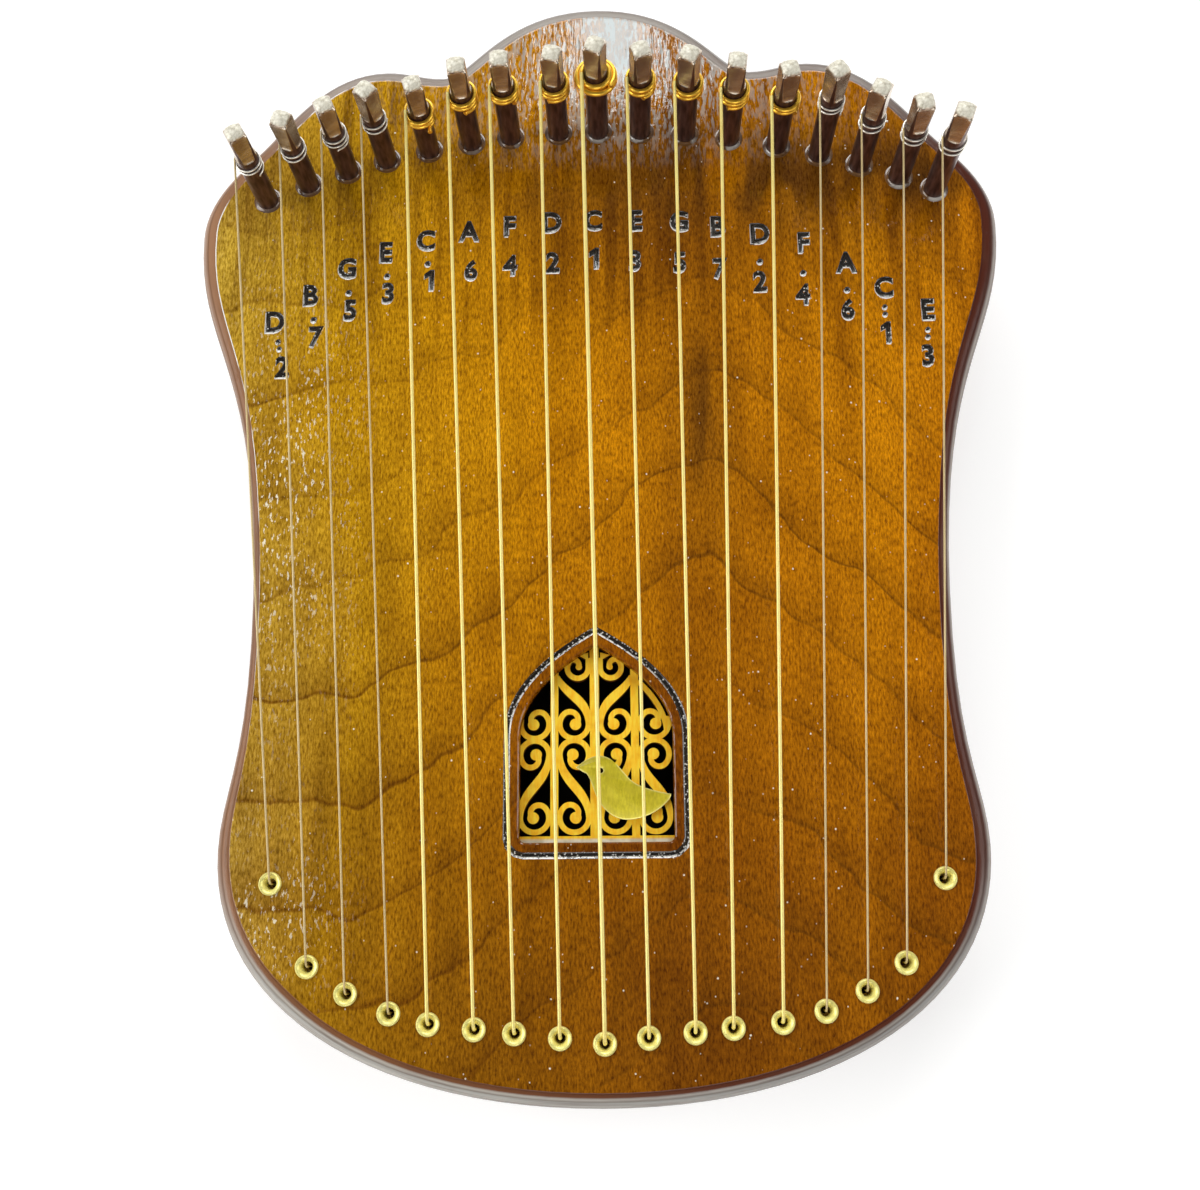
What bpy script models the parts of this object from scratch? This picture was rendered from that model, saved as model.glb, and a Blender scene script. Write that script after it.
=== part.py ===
"""A seventeen-string lyre lying on its back.

x runs across the body, y from the tail to the crest, z out of the front. All lengths are in metres.
"""

import math

import bmesh
import bpy
from mathutils import Vector
from mathutils.geometry import delaunay_2d_cdt, interpolate_bezier

# Body: a shallow glued box with a shield outline
BODY_LENGTH = 0.2585
BODY_DEPTH = 0.025
SHOULDER_WIDTH = 0.190
WAIST_WIDTH = 0.155
BOUT_WIDTH = 0.1642
BOUT_HEIGHT = 0.052
WAIST_HEIGHT = 0.097
SHOULDER_DROP = 0.0615
SIDE_NOTCH_INSET = 0.0135
SIDE_NOTCH_DROP = 0.0375
LOBE_X = 0.0515
LOBE_DROP = 0.0165
CREST_NOTCH_X = 0.0375
CREST_NOTCH_DROP = 0.0185
FRONT_RADIUS = 0.005
BACK_RADIUS = 0.0025
TOP_THICKNESS = 0.003
BACK_THICKNESS = 0.003
SIDE_THICKNESS = 0.004
JOINT_GAP = 0.0003

# Tuning pins: steel pins with a forged square head, drilled and driven by hand.
# Each pin, from the left, has its own shift off even spacing, rise over the usual height and turn in degrees.
STRINGS_PER_SIDE = 8
PIN_EDGE = 0.016
PIN_DROP = 0.0365
PIN_ROW_RADIUS = 0.192
PIN_SHIFTS = (0.0003, 0.0001, -0.0004, -0.0010, -0.0007, -0.0004, -0.0008, 0.0009, 0.0006,
              0.0008, 0.0017, 0.0023, 0.0038, 0.0039, 0.0035, 0.0028, 0.0010)
PIN_RISES = (-0.0014, -0.0025, -0.0026, -0.0014, -0.0031, 0.0004, 0.0007, 0.0008, 0.0031,
             0.0015, 0.0010, 0.0003, 0.0001, 0.0031, 0.0007, 0.0003, 0.0018)
PIN_TURNS = (30, -18, 24, 50, 17, 6, 2, -13, -23, 18, -26, -8, 11, 34, -29, 8, -20)
PIN_DIAMETER = 0.005
PIN_HEIGHT = 0.030
PIN_DEPTH = 0.013
PIN_HEAD_LENGTH = 0.0098
PIN_HEAD_CORNERS = 0.0057
PIN_TIP_ACROSS = 0.0041
PIN_TIP_CHAMFER = 0.0006
PIN_BLOCK_MARGIN = 0.012

# Eyelets and the block that they are driven into. Each has its own shift off even spacing.
EYELET_EDGE = 0.0117
EYELET_TAIL_EDGE = 0.0129
EYELET_SHIFTS = (0.0011, 0.0008, 0.0002, 0.0004, -0.0003, 0.0003, -0.0003, 0.0002, 0.0005,
                 0.0006, 0.0012, 0.0001, 0.0013, 0.0013, 0.0010, 0.0004, 0.0007)
EYELET_CURVE = (0.0, 0.028, 0.053, 0.074, 0.101, 0.155, 0.254, 0.393, 0.822)
EYELET_FLANGE = 0.0049
EYELET_BORE = 0.0027
EYELET_WALL = 0.0003
EYELET_RISE = 0.0005
TAIL_BLOCK_WIDTH = 0.018
TAIL_BLOCK_END = 0.008
BALL_DIAMETER = 0.0032

# Strings: wound bronze in the middle, plain steel at both sides
BRONZE_PER_SIDE = 4
BRONZE_DIAMETER = 0.0010
STEEL_DIAMETER = 0.0006
COIL_TURNS = 2.5
COIL_BELOW_HEAD = 0.0010
COIL_SPACING = 0.00065

# Sound window, its scroll grille, the bird and the brace. Window and grille sit a little left of the middle.
WINDOW_X = -0.0009
WINDOW_WIDTH = 0.0328
WINDOW_HEIGHT = 0.0425
WINDOW_SIDE = 0.0225
WINDOW_SILL = 0.053
WINDOW_CORNER = 0.0012
GRILLE_X = -0.0013
GRILLE_THICKNESS = 0.002
GRILLE_LAP = 0.004
GRILLE_REVEAL = 0.0006
SILL_BAR = 0.0015
BAR_OFFSET = 0.0087
CENTRE_BAR = 0.0020
SIDE_BAR = 0.0017
SCROLL_WIDTH = 0.0012
SCROLL_SWELL = 0.0020
SCROLL_OVERLAP = 0.0003
SCROLL_ROWS = (0.127, 0.442, 0.598, 0.889)
SCROLL_SWEEP = 370
SCROLL_HOLD = 225
SCROLL_BULB = 0.0025
SCROLL_EYE = 0.0003
TOP_SCROLL_RADIUS = 0.0018
TOP_SCROLL_SWEEP = 320
TOP_SCROLL_BULB = 0.0014
TOP_SCROLL_LEAF = 0.0022
BIRD_LENGTH = 0.0202
BIRD_THICKNESS = 0.001
BIRD_X = 0.0048
BIRD_Y = 0.0116
BIRD_EYE = 0.0012
BRACE_WIDTH = 0.006
BRACE_HEIGHT = 0.008
BRACE_ABOVE_WINDOW = 0.014

# Mesh fineness
HOLE_SIDES = 8
EYELET_SIDES = 8
PIN_SIDES = 12
COIL_POINTS = 10
ROUND_STEPS = 3
SHARP_ANGLE = 35

TAIL_Y = -BODY_LENGTH / 2
CREST_Y = BODY_LENGTH / 2
FRONT_Z = BODY_DEPTH
BOARD_Z = FRONT_Z - TOP_THICKNESS
FRAME_LOW = BACK_THICKNESS + JOINT_GAP
FRAME_HIGH = BOARD_Z - JOINT_GAP
SILL_Y = TAIL_Y + WINDOW_SILL
APEX_Y = SILL_Y + WINDOW_HEIGHT
INNER_FACE = SIDE_THICKNESS + JOINT_GAP


def clear_scene():
    for obj in list(bpy.data.objects):
        bpy.data.objects.remove(obj, do_unlink=True)


def material(name, colour, roughness, metallic=0.0):
    made = bpy.data.materials.new(name)
    made.use_nodes = True
    shader = made.node_tree.nodes["Principled BSDF"]
    shader.inputs["Base Color"].default_value = (*colour, 1.0)
    shader.inputs["Roughness"].default_value = roughness
    shader.inputs["Metallic"].default_value = metallic
    return made


def add_object(name, data, finish, location=(0, 0, 0)):
    obj = bpy.data.objects.new(name, data)
    obj.location = location
    obj.parent = lyre
    data.materials.append(finish)
    bpy.context.scene.collection.objects.link(obj)
    return obj


def finish_mesh(name, bm):
    bmesh.ops.recalc_face_normals(bm, faces=bm.faces)
    mesh = bpy.data.meshes.new(name)
    bm.to_mesh(mesh)
    bm.free()
    mesh.shade_smooth()
    mesh.set_sharp_from_angle(angle=math.radians(SHARP_ANGLE))
    return mesh


def bezier_path(nodes, segments):
    """Points along Bezier segments. A node is (x, y, heading in, heading out), in degrees.

    A segment is (start handle, end handle, steps), its handles as shares of the chord.
    """
    points = []
    for (x0, y0, _, out), (x1, y1, arrive, _), (first, last, steps) in zip(nodes, nodes[1:], segments):
        start = Vector((x0, y0))
        end = Vector((x1, y1))
        chord = (end - start).length
        leave = Vector((math.cos(math.radians(out)), math.sin(math.radians(out))))
        reach = Vector((math.cos(math.radians(arrive)), math.sin(math.radians(arrive))))
        near = start + leave * chord * first
        far = end - reach * chord * last
        run = interpolate_bezier(start, near, far, end, steps + 1)
        points += run[1:] if points else run
    return points


def half_outline():
    """The right-hand edge from the middle of the tail to the middle of the crest."""
    shoulder = SHOULDER_WIDTH / 2
    waist = WAIST_WIDTH / 2
    bout = BOUT_WIDTH / 2
    nodes = (
        (0, TAIL_Y, 0, 0),
        (bout, TAIL_Y + BOUT_HEIGHT, 90, 90),
        (waist, TAIL_Y + WAIST_HEIGHT, 90, 90),
        (shoulder, CREST_Y - SHOULDER_DROP, 90, 90),
        (shoulder - SIDE_NOTCH_INSET, CREST_Y - SIDE_NOTCH_DROP, 131, 131),
        (LOBE_X, CREST_Y - LOBE_DROP, 180, 180),
        (CREST_NOTCH_X, CREST_Y - CREST_NOTCH_DROP, 180, 180),
        (0, CREST_Y, 180, 180),
    )
    segments = (
        (0.50, 0.325, 10),
        (0.26, 0.60, 3),
        (0.655, 0.295, 7),
        (0.40, 0.28, 5),
        (0.24, 0.42, 6),
        (0.40, 0.40, 3),
        (0.15, 0.575, 7),
    )
    return bezier_path(nodes, segments)


def inset_half(inset):
    """The half outline moved inwards by inset."""
    points = half_outline()
    moved = []
    for index, point in enumerate(points):
        before = points[max(index - 1, 0)]
        after = points[min(index + 1, len(points) - 1)]
        along = (after - before).normalized()
        if index in (0, len(points) - 1):
            along = Vector((1, 0)) if index == 0 else Vector((-1, 0))
        moved.append(point + Vector((-along.y, along.x)) * inset)
    return moved


def whole(half):
    """A closed loop from a right-hand half that starts and ends on the middle line."""
    left = [Vector((-point.x, point.y)) for point in reversed(half[1:-1])]
    return half + left


def edge_inset(z):
    """How far the rounded edges pull the outside in at height z."""
    if z > FRONT_Z - FRONT_RADIUS:
        rise = z - (FRONT_Z - FRONT_RADIUS)
        return FRONT_RADIUS - math.sqrt(max(FRONT_RADIUS**2 - rise**2, 0))
    if z < BACK_RADIUS:
        fall = BACK_RADIUS - z
        return BACK_RADIUS - math.sqrt(max(BACK_RADIUS**2 - fall**2, 0))
    return 0.0


def edge_levels(low, high):
    """Heights from low to high at which the outside needs a loop of points."""
    levels = {low, high}
    for step in range(ROUND_STEPS + 1):
        angle = math.pi / 2 * step / ROUND_STEPS
        levels.add(FRONT_Z - FRONT_RADIUS + FRONT_RADIUS * math.sin(angle))
        levels.add(BACK_RADIUS - BACK_RADIUS * math.sin(angle))
    inside = sorted(level for level in levels if low <= level <= high)
    return [z for index, z in enumerate(inside) if index == 0 or z - inside[index - 1] > JOINT_GAP / 2]


def stack(bm, loops):
    """A closed solid through loops of equal length, capped at both ends."""
    rings = [[bm.verts.new(point) for point in loop] for loop in loops]
    for lower, upper in zip(rings, rings[1:]):
        for index in range(len(lower)):
            follow = (index + 1) % len(lower)
            bm.faces.new((lower[index], lower[follow], upper[follow], upper[index]))
    bm.faces.new(rings[0])
    bm.faces.new(rings[-1])


def prism(bm, outline, low, high):
    stack(bm, [[(point.x, point.y, z) for point in outline] for z in (low, high)])


def cylinder(bm, x, y, radius, low, high):
    """A hole cutter whose flat sides lie at radius or further out."""
    reach = radius / math.cos(math.pi / HOLE_SIDES)
    angles = [2 * math.pi * side / HOLE_SIDES for side in range(HOLE_SIDES)]
    prism(bm, [Vector((x + reach * math.cos(a), y + reach * math.sin(a))) for a in angles], low, high)


def cut(obj, cutter_bm):
    mesh = finish_mesh(obj.name + "_cutter", cutter_bm)
    cutter = bpy.data.objects.new(obj.name + "_cutter", mesh)
    cutter.hide_render = True
    cutter.display_type = "WIRE"
    bpy.context.scene.collection.objects.link(cutter)
    boolean = obj.modifiers.new("holes", "BOOLEAN")
    boolean.operation = "DIFFERENCE"
    boolean.object = cutter


def of_string(values, index):
    """The value of one string in a list that starts again when there are more strings."""
    return values[index % len(values)]


def spread(reach, shifts):
    """x of each string along a row that is reach wide on either side, with its hand-drilled shifts."""
    count = 2 * STRINGS_PER_SIDE + 1
    return [reach * (k / STRINGS_PER_SIDE - 1) + of_string(shifts, k) for k in range(count)]


def pin_spots():
    """(x, y) of each tuning pin, on an arc below the crest."""
    xs = spread(SHOULDER_WIDTH / 2 - PIN_EDGE, PIN_SHIFTS)
    return [(x, pin_row_y(x)) for x in xs]


def pin_row_y(x):
    return CREST_Y - PIN_DROP - PIN_ROW_RADIUS + math.sqrt(PIN_ROW_RADIUS**2 - x**2)


def eyelet_spots():
    """(x, y) of each eyelet, following the curve of the tail."""
    xs = spread(BOUT_WIDTH / 2 - EYELET_EDGE, EYELET_SHIFTS)
    climb = BOUT_HEIGHT - EYELET_TAIL_EDGE
    lowest = TAIL_Y + EYELET_TAIL_EDGE
    steps = [abs(k - STRINGS_PER_SIDE) for k in range(len(xs))]
    return [(x, lowest + climb * of_string(EYELET_CURVE, step)) for x, step in zip(xs, steps)]


def string_radius(index):
    wound = abs(index - STRINGS_PER_SIDE) <= BRONZE_PER_SIDE
    return (BRONZE_DIAMETER if wound else STEEL_DIAMETER) / 2


def window_outline(margin, middle=WINDOW_X):
    """The window's closed outline about middle, moved outwards by margin."""
    half = WINDOW_WIDTH / 2
    spring = SILL_Y + WINDOW_SIDE
    nodes = ((half, spring, 90, 90), (0, APEX_Y, 149, 149))
    arch = bezier_path(nodes, ((0.35, 0.33, 7),))
    corner = [Vector((half - WINDOW_CORNER, SILL_Y)), Vector((half, SILL_Y + WINDOW_CORNER))]
    right = corner + arch
    points = right + [Vector((-point.x, point.y)) for point in reversed(right[:-1])]
    moved = []
    for index, point in enumerate(points):
        before = (point - points[index - 1]).normalized()
        after = (points[(index + 1) % len(points)] - point).normalized()
        outward = Vector((before.y + after.y, -before.x - after.x)).normalized()
        lean = max(outward.dot(Vector((before.y, -before.x))), 0.5)
        moved.append(Vector((middle, 0)) + point + outward * margin / lean)
    return moved


def add_soundboard(finish):
    bm = bmesh.new()
    levels = edge_levels(BOARD_Z, FRONT_Z)
    stack(bm, [[(p.x, p.y, z) for p in whole(inset_half(edge_inset(z)))] for z in levels])
    board = add_object("soundboard", finish_mesh("soundboard", bm), finish)
    holes = bmesh.new()
    low = BOARD_Z - TOP_THICKNESS
    high = FRONT_Z + TOP_THICKNESS
    for x, y in pin_spots():
        cylinder(holes, x, y, PIN_DIAMETER / 2 + JOINT_GAP, low, high)
    for x, y in eyelet_spots():
        cylinder(holes, x, y, EYELET_BORE / 2 + EYELET_WALL + JOINT_GAP, low, high)
    prism(holes, window_outline(0), low, high)
    cut(board, holes)


def add_back_plate(finish):
    bm = bmesh.new()
    levels = edge_levels(0, BACK_THICKNESS)
    stack(bm, [[(p.x, p.y, z) for p in whole(inset_half(edge_inset(z)))] for z in levels])
    plate = add_object("back_plate", finish_mesh("back_plate", bm), finish)
    holes = bmesh.new()
    for x, y in eyelet_spots():
        cylinder(holes, x, y, BALL_DIAMETER / 2 + JOINT_GAP, -BACK_THICKNESS, 2 * BACK_THICKNESS)
    cut(plate, holes)


def add_side(name, sign, finish):
    """One sawn side wall, from the tail seam to the crest seam."""
    levels = edge_levels(FRAME_LOW, FRAME_HIGH)
    profile = [(edge_inset(z), z) for z in levels]
    profile += [(SIDE_THICKNESS, FRAME_HIGH), (SIDE_THICKNESS, FRAME_LOW)]
    columns = [(inset_half(inset), z) for inset, z in profile]
    stations = []
    for index in range(len(half_outline())):
        points = [(half[index], z) for half, z in columns]
        stations.append([(sign * max(p.x, JOINT_GAP / 2), p.y, z) for p, z in points])
    bm = bmesh.new()
    stack(bm, stations)
    add_object(name, finish_mesh(name, bm), finish)


def crossing(inside, outside, height):
    """The point between two outline points where the edge meets the line height(x)."""
    over = inside.y - height(inside.x)
    under = outside.y - height(outside.x)
    return inside.lerp(outside, over / (over - under))


def add_pin_block(finish):
    """The hardwood block that the pins turn in, fitted inside the top of the sides."""
    def lower(x):
        return pin_row_y(x) - PIN_BLOCK_MARGIN

    half = inset_half(INNER_FACE)
    first = next(i for i in range(len(half)) if half[i].y > lower(half[i].x) and half[i].y > 0)
    start = crossing(half[first], half[first - 1], lower)
    right = [start] + half[first:]
    steps = 2 * STRINGS_PER_SIDE
    xs = [start.x * (2 * step / steps - 1) for step in range(1, steps)]
    left = [Vector((-p.x, p.y)) for p in reversed(right[:-1])]
    outline = right + left + [Vector((x, lower(x))) for x in xs]
    bm = bmesh.new()
    prism(bm, outline, FRAME_LOW, FRAME_HIGH)
    block = add_object("pin_block", finish_mesh("pin_block", bm), finish)
    holes = bmesh.new()
    for index, (x, y) in enumerate(pin_spots()):
        bottom = FRONT_Z + of_string(PIN_RISES, index) - PIN_DEPTH - JOINT_GAP
        cylinder(holes, x, y, PIN_DIAMETER / 2 + JOINT_GAP, bottom, FRONT_Z)
    cut(block, holes)


def add_tail_block(finish):
    """The curved block along the tail that anchors the strings."""
    top = eyelet_spots()[0][1] + TAIL_BLOCK_END

    def level(_):
        return top

    outer = inset_half(INNER_FACE)
    inner = inset_half(INNER_FACE + TAIL_BLOCK_WIDTH)
    last = next(i for i in range(len(outer)) if outer[i].y > top)
    outside = outer[:last] + [crossing(outer[last], outer[last - 1], level)]
    last = next(i for i in range(len(inner)) if inner[i].y > top)
    inside = inner[:last] + [crossing(inner[last], inner[last - 1], level)]
    right = outside + inside[::-1]
    left = [Vector((-p.x, p.y)) for p in inside[1:]] + [Vector((-p.x, p.y)) for p in reversed(outside[1:])]
    bm = bmesh.new()
    prism(bm, right + left, FRAME_LOW, FRAME_HIGH)
    block = add_object("tail_block", finish_mesh("tail_block", bm), finish)
    holes = bmesh.new()
    for index, (x, y) in enumerate(eyelet_spots()):
        cylinder(holes, x, y, string_radius(index) + JOINT_GAP, 0, FRONT_Z)
    cut(block, holes)


def add_brace(finish):
    """The cross brace under the soundboard, between the window and the pin block."""
    middle = APEX_Y + BRACE_ABOVE_WINDOW
    half = inset_half(INNER_FACE)
    ends = []
    for y in (middle - BRACE_WIDTH / 2, middle + BRACE_WIDTH / 2):
        above = next(i for i in range(len(half)) if half[i].y > y)
        under, over = half[above - 1], half[above]
        ends.append(under.lerp(over, (y - under.y) / (over.y - under.y)))
    low, high = ends
    outline = [low, high, Vector((-high.x, high.y)), Vector((-low.x, low.y))]
    bm = bmesh.new()
    prism(bm, outline, FRAME_HIGH - BRACE_HEIGHT, FRAME_HIGH)
    add_object("brace", finish_mesh("brace", bm), finish)


def pin_mesh():
    """A pin whose head spreads into four tapering flats. Its origin is on its axis, at the face."""
    radius = PIN_DIAMETER / 2
    corner = PIN_HEAD_CORNERS / 2
    profile = (
        (radius, -PIN_DEPTH),
        (radius, PIN_HEIGHT - PIN_HEAD_LENGTH),
        (corner, PIN_HEIGHT - PIN_TIP_CHAMFER),
        (corner - PIN_TIP_CHAMFER, PIN_HEIGHT),
    )
    angles = [2 * math.pi * (side + 0.5) / PIN_SIDES for side in range(PIN_SIDES)]
    bm = bmesh.new()
    stack(bm, [[(r * math.cos(a), r * math.sin(a), z) for a in angles] for r, z in profile])
    bmesh.ops.recalc_face_normals(bm, faces=bm.faces)
    slope = (radius - PIN_TIP_ACROSS / 2) / PIN_HEAD_LENGTH
    for quarter in range(4):
        turn = math.pi / 2 * quarter
        facing = Vector((math.cos(turn), math.sin(turn), 0))
        normal = (facing + Vector((0, 0, slope))).normalized()
        on_flat = facing * PIN_TIP_ACROSS / 2 + Vector((0, 0, PIN_HEIGHT))
        geometry = bm.verts[:] + bm.edges[:] + bm.faces[:]
        made = bmesh.ops.bisect_plane(bm, geom=geometry, plane_co=on_flat, plane_no=normal, clear_outer=True)
        rim = [item for item in made["geom_cut"] if isinstance(item, bmesh.types.BMEdge)]
        bmesh.ops.contextual_create(bm, geom=rim)
    return finish_mesh("tuning_pin", bm)


def add_pins(finish):
    mesh = pin_mesh()
    mesh.materials.append(finish)
    for index, (x, y) in enumerate(pin_spots()):
        pin = bpy.data.objects.new(f"tuning_pin_{index + 1:02d}", mesh)
        pin.location = (x, y, FRONT_Z + of_string(PIN_RISES, index))
        pin.rotation_euler.z = math.radians(of_string(PIN_TURNS, index))
        pin.parent = lyre
        bpy.context.scene.collection.objects.link(pin)


def add_eyelets(finish):
    """Rolled brass eyelets: a thin barrel through the soundboard under a domed flange."""
    bore = EYELET_BORE / 2
    barrel = bore + EYELET_WALL
    flange = EYELET_FLANGE / 2
    crown = (barrel + flange) / 2
    seat = JOINT_GAP
    profile = (
        (bore, JOINT_GAP - TOP_THICKNESS),
        (bore, seat),
        (crown, seat + EYELET_RISE),
        (flange, seat + EYELET_WALL),
        (flange, seat),
        (barrel, seat),
        (barrel, JOINT_GAP - TOP_THICKNESS),
    )
    angles = [2 * math.pi * side / EYELET_SIDES for side in range(EYELET_SIDES)]
    bm = bmesh.new()
    rings = [[bm.verts.new((r * math.cos(a), r * math.sin(a), z)) for a in angles] for r, z in profile]
    for ring, other in zip(rings, rings[1:] + rings[:1]):
        for side in range(EYELET_SIDES):
            follow = (side + 1) % EYELET_SIDES
            bm.faces.new((ring[side], ring[follow], other[follow], other[side]))
    mesh = finish_mesh("eyelet", bm)
    mesh.materials.append(finish)
    for index, (x, y) in enumerate(eyelet_spots()):
        eyelet = bpy.data.objects.new(f"eyelet_{index + 1:02d}", mesh)
        eyelet.location = (x, y, FRONT_Z)
        eyelet.parent = lyre
        bpy.context.scene.collection.objects.link(eyelet)


def string_path(index):
    """Points and radii of one string, from its ball end up to the coil on its pin."""
    radius = string_radius(index)
    ball = BALL_DIAMETER / 2
    eye = Vector(eyelet_spots()[index])
    pin = Vector(pin_spots()[index])
    wind = (PIN_DIAMETER / 2 + JOINT_GAP + radius) / math.cos(math.pi / COIL_POINTS)
    away = Vector((pin.x - wind, pin.y))
    along = (away - eye).normalized()
    crown = FRONT_Z + JOINT_GAP + EYELET_RISE
    over = crown + JOINT_GAP + radius
    path = [
        (eye.x, eye.y, JOINT_GAP, ball / 2),
        (eye.x, eye.y, 3 * JOINT_GAP, ball),
        (eye.x, eye.y, BACK_THICKNESS - 3 * JOINT_GAP, ball),
        (eye.x, eye.y, BACK_THICKNESS - JOINT_GAP, ball / 2),
        (eye.x, eye.y, FRAME_LOW, radius),
        (eye.x, eye.y, FRONT_Z - radius, radius),
    ]
    flange = EYELET_FLANGE / 2
    for share, lift in ((0.06, 0.25), (0.25, 0.72), (0.65, 1.0)):
        bend = eye + along * flange * share
        path.append((bend.x, bend.y, FRONT_Z + (over - FRONT_Z) * lift, radius))
    pitch = 2 * radius + COIL_SPACING
    head = FRONT_Z + of_string(PIN_RISES, index) + PIN_HEIGHT - PIN_HEAD_LENGTH
    top = head - COIL_BELOW_HEAD
    for step in range(round(COIL_TURNS * COIL_POINTS) + 1):
        turn = step / COIL_POINTS
        angle = math.pi - 2 * math.pi * turn
        spot = pin + Vector((math.cos(angle), math.sin(angle))) * wind
        path.append((spot.x, spot.y, top - pitch * turn, radius))
    cut_end = spot + Vector((math.sin(angle), -math.cos(angle))) * 2 * radius
    path.append((cut_end.x, cut_end.y, path[-1][2], radius))
    return path


def least_gap(path):
    """The least clear distance between stretches of one string that aren't neighbours."""
    samples = []
    travelled = 0.0
    for start, end in zip(path, path[1:]):
        for share in (0, 0.25, 0.5, 0.75):
            point = Vector(start[:3]).lerp(Vector(end[:3]), share)
            travelled += (point - samples[-1][0]).length if samples else 0
            samples.append((point, travelled, start[3]))
    apart = PIN_DIAMETER * 2
    pairs = [(a, b) for i, a in enumerate(samples) for b in samples[i + 1:] if b[1] - a[1] > apart]
    return min((a[0] - b[0]).length - a[2] - b[2] for a, b in pairs)


def add_strings(steel, bronze):
    gaps = []
    for index in range(2 * STRINGS_PER_SIDE + 1):
        path = string_path(index)
        radius = string_radius(index)
        curve = bpy.data.curves.new(f"string_{index + 1:02d}", "CURVE")
        curve.dimensions = "3D"
        curve.bevel_depth = radius
        curve.bevel_resolution = 1
        curve.use_fill_caps = True
        spline = curve.splines.new("POLY")
        spline.points.add(len(path) - 1)
        for point, (x, y, z, thick) in zip(spline.points, path):
            point.co = (x, y, z, 1)
            point.radius = thick / radius
        wound = abs(index - STRINGS_PER_SIDE) <= BRONZE_PER_SIDE
        add_object(curve.name, curve, bronze if wound else steel)
        gaps.append(least_gap(path))
    print(f"least gap of a string to itself: {min(gaps) * 1000:.2f} mm")


def anticlockwise(polygon):
    turned = zip(polygon, polygon[1:] + polygon[:1])
    area = sum(start.x * end.y - end.x * start.y for start, end in turned)
    return polygon if area > 0 else polygon[::-1]


def flat_plate(outer, inner, solids, low, high):
    """A plate of the region in outer but not in inner, or in any of solids, as one mesh."""
    coords = []
    faces = []
    for polygon in (outer, inner, *solids):
        faces.append(range(len(coords), len(coords) + len(polygon)))
        coords += anticlockwise(polygon)
    points, _, cells, _, _, owners = delaunay_2d_cdt(coords, [], [list(f) for f in faces], 1, 1e-7, True)
    bm = bmesh.new()
    verts = [bm.verts.new((p.x, p.y, low)) for p in points]
    for cell, owner in zip(cells, owners):
        held = set(owner)
        if held - {0, 1} or held == {0}:
            bm.faces.new([verts[i] for i in cell])
    loose = [vert for vert in bm.verts if not vert.link_faces]
    bmesh.ops.delete(bm, geom=loose, context="VERTS")
    bmesh.ops.dissolve_limit(bm, angle_limit=math.radians(1), verts=bm.verts, edges=bm.edges)
    made = bmesh.ops.extrude_face_region(bm, geom=bm.faces[:])
    raised = [item for item in made["geom"] if isinstance(item, bmesh.types.BMVert)]
    bmesh.ops.translate(bm, vec=(0, 0, high - low), verts=raised)
    return bm


def volute(centre, radius, start, sign, sweep, steps):
    """A scroll round centre from angle start into its eye. It keeps its radius for SCROLL_HOLD degrees."""
    points = []
    for step in range(steps + 1):
        turned = sweep * step / steps
        angle = start - math.radians(turned)
        share = max(turned - SCROLL_HOLD, 0) / (sweep - SCROLL_HOLD)
        reach = radius + (SCROLL_EYE - radius) * share**2 * (3 - 2 * share)
        points.append(centre + Vector((sign * reach * math.cos(angle), reach * math.sin(angle))))
    return points


def stem(start, leave, arrive, end):
    """Points between two scrolls, without its ends."""
    return interpolate_bezier(start, leave, arrive, end, 7)[1:-1]


def ribbon(points, swollen=range(0)):
    """A band along points, as a polygon. It swells to SCROLL_SWELL in the middle of the swollen points."""
    left = []
    right = []
    for index, point in enumerate(points):
        before = points[max(index - 1, 0)]
        after = points[min(index + 1, len(points) - 1)]
        along = (after - before).normalized()
        width = SCROLL_WIDTH
        if index in swollen:
            share = (index - swollen.start + 1) / (len(swollen) + 1)
            width += (SCROLL_SWELL - SCROLL_WIDTH) * math.sin(math.pi * share)
        side = Vector((-along.y, along.x)) * width / 2
        left.append(point + side)
        right.append(point - side)
    return left + right[::-1]


def bulb(point, across):
    angles = [2 * math.pi * side / 8 for side in range(8)]
    return [point + Vector((math.cos(a), math.sin(a))) * across / 2 for a in angles]


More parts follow.
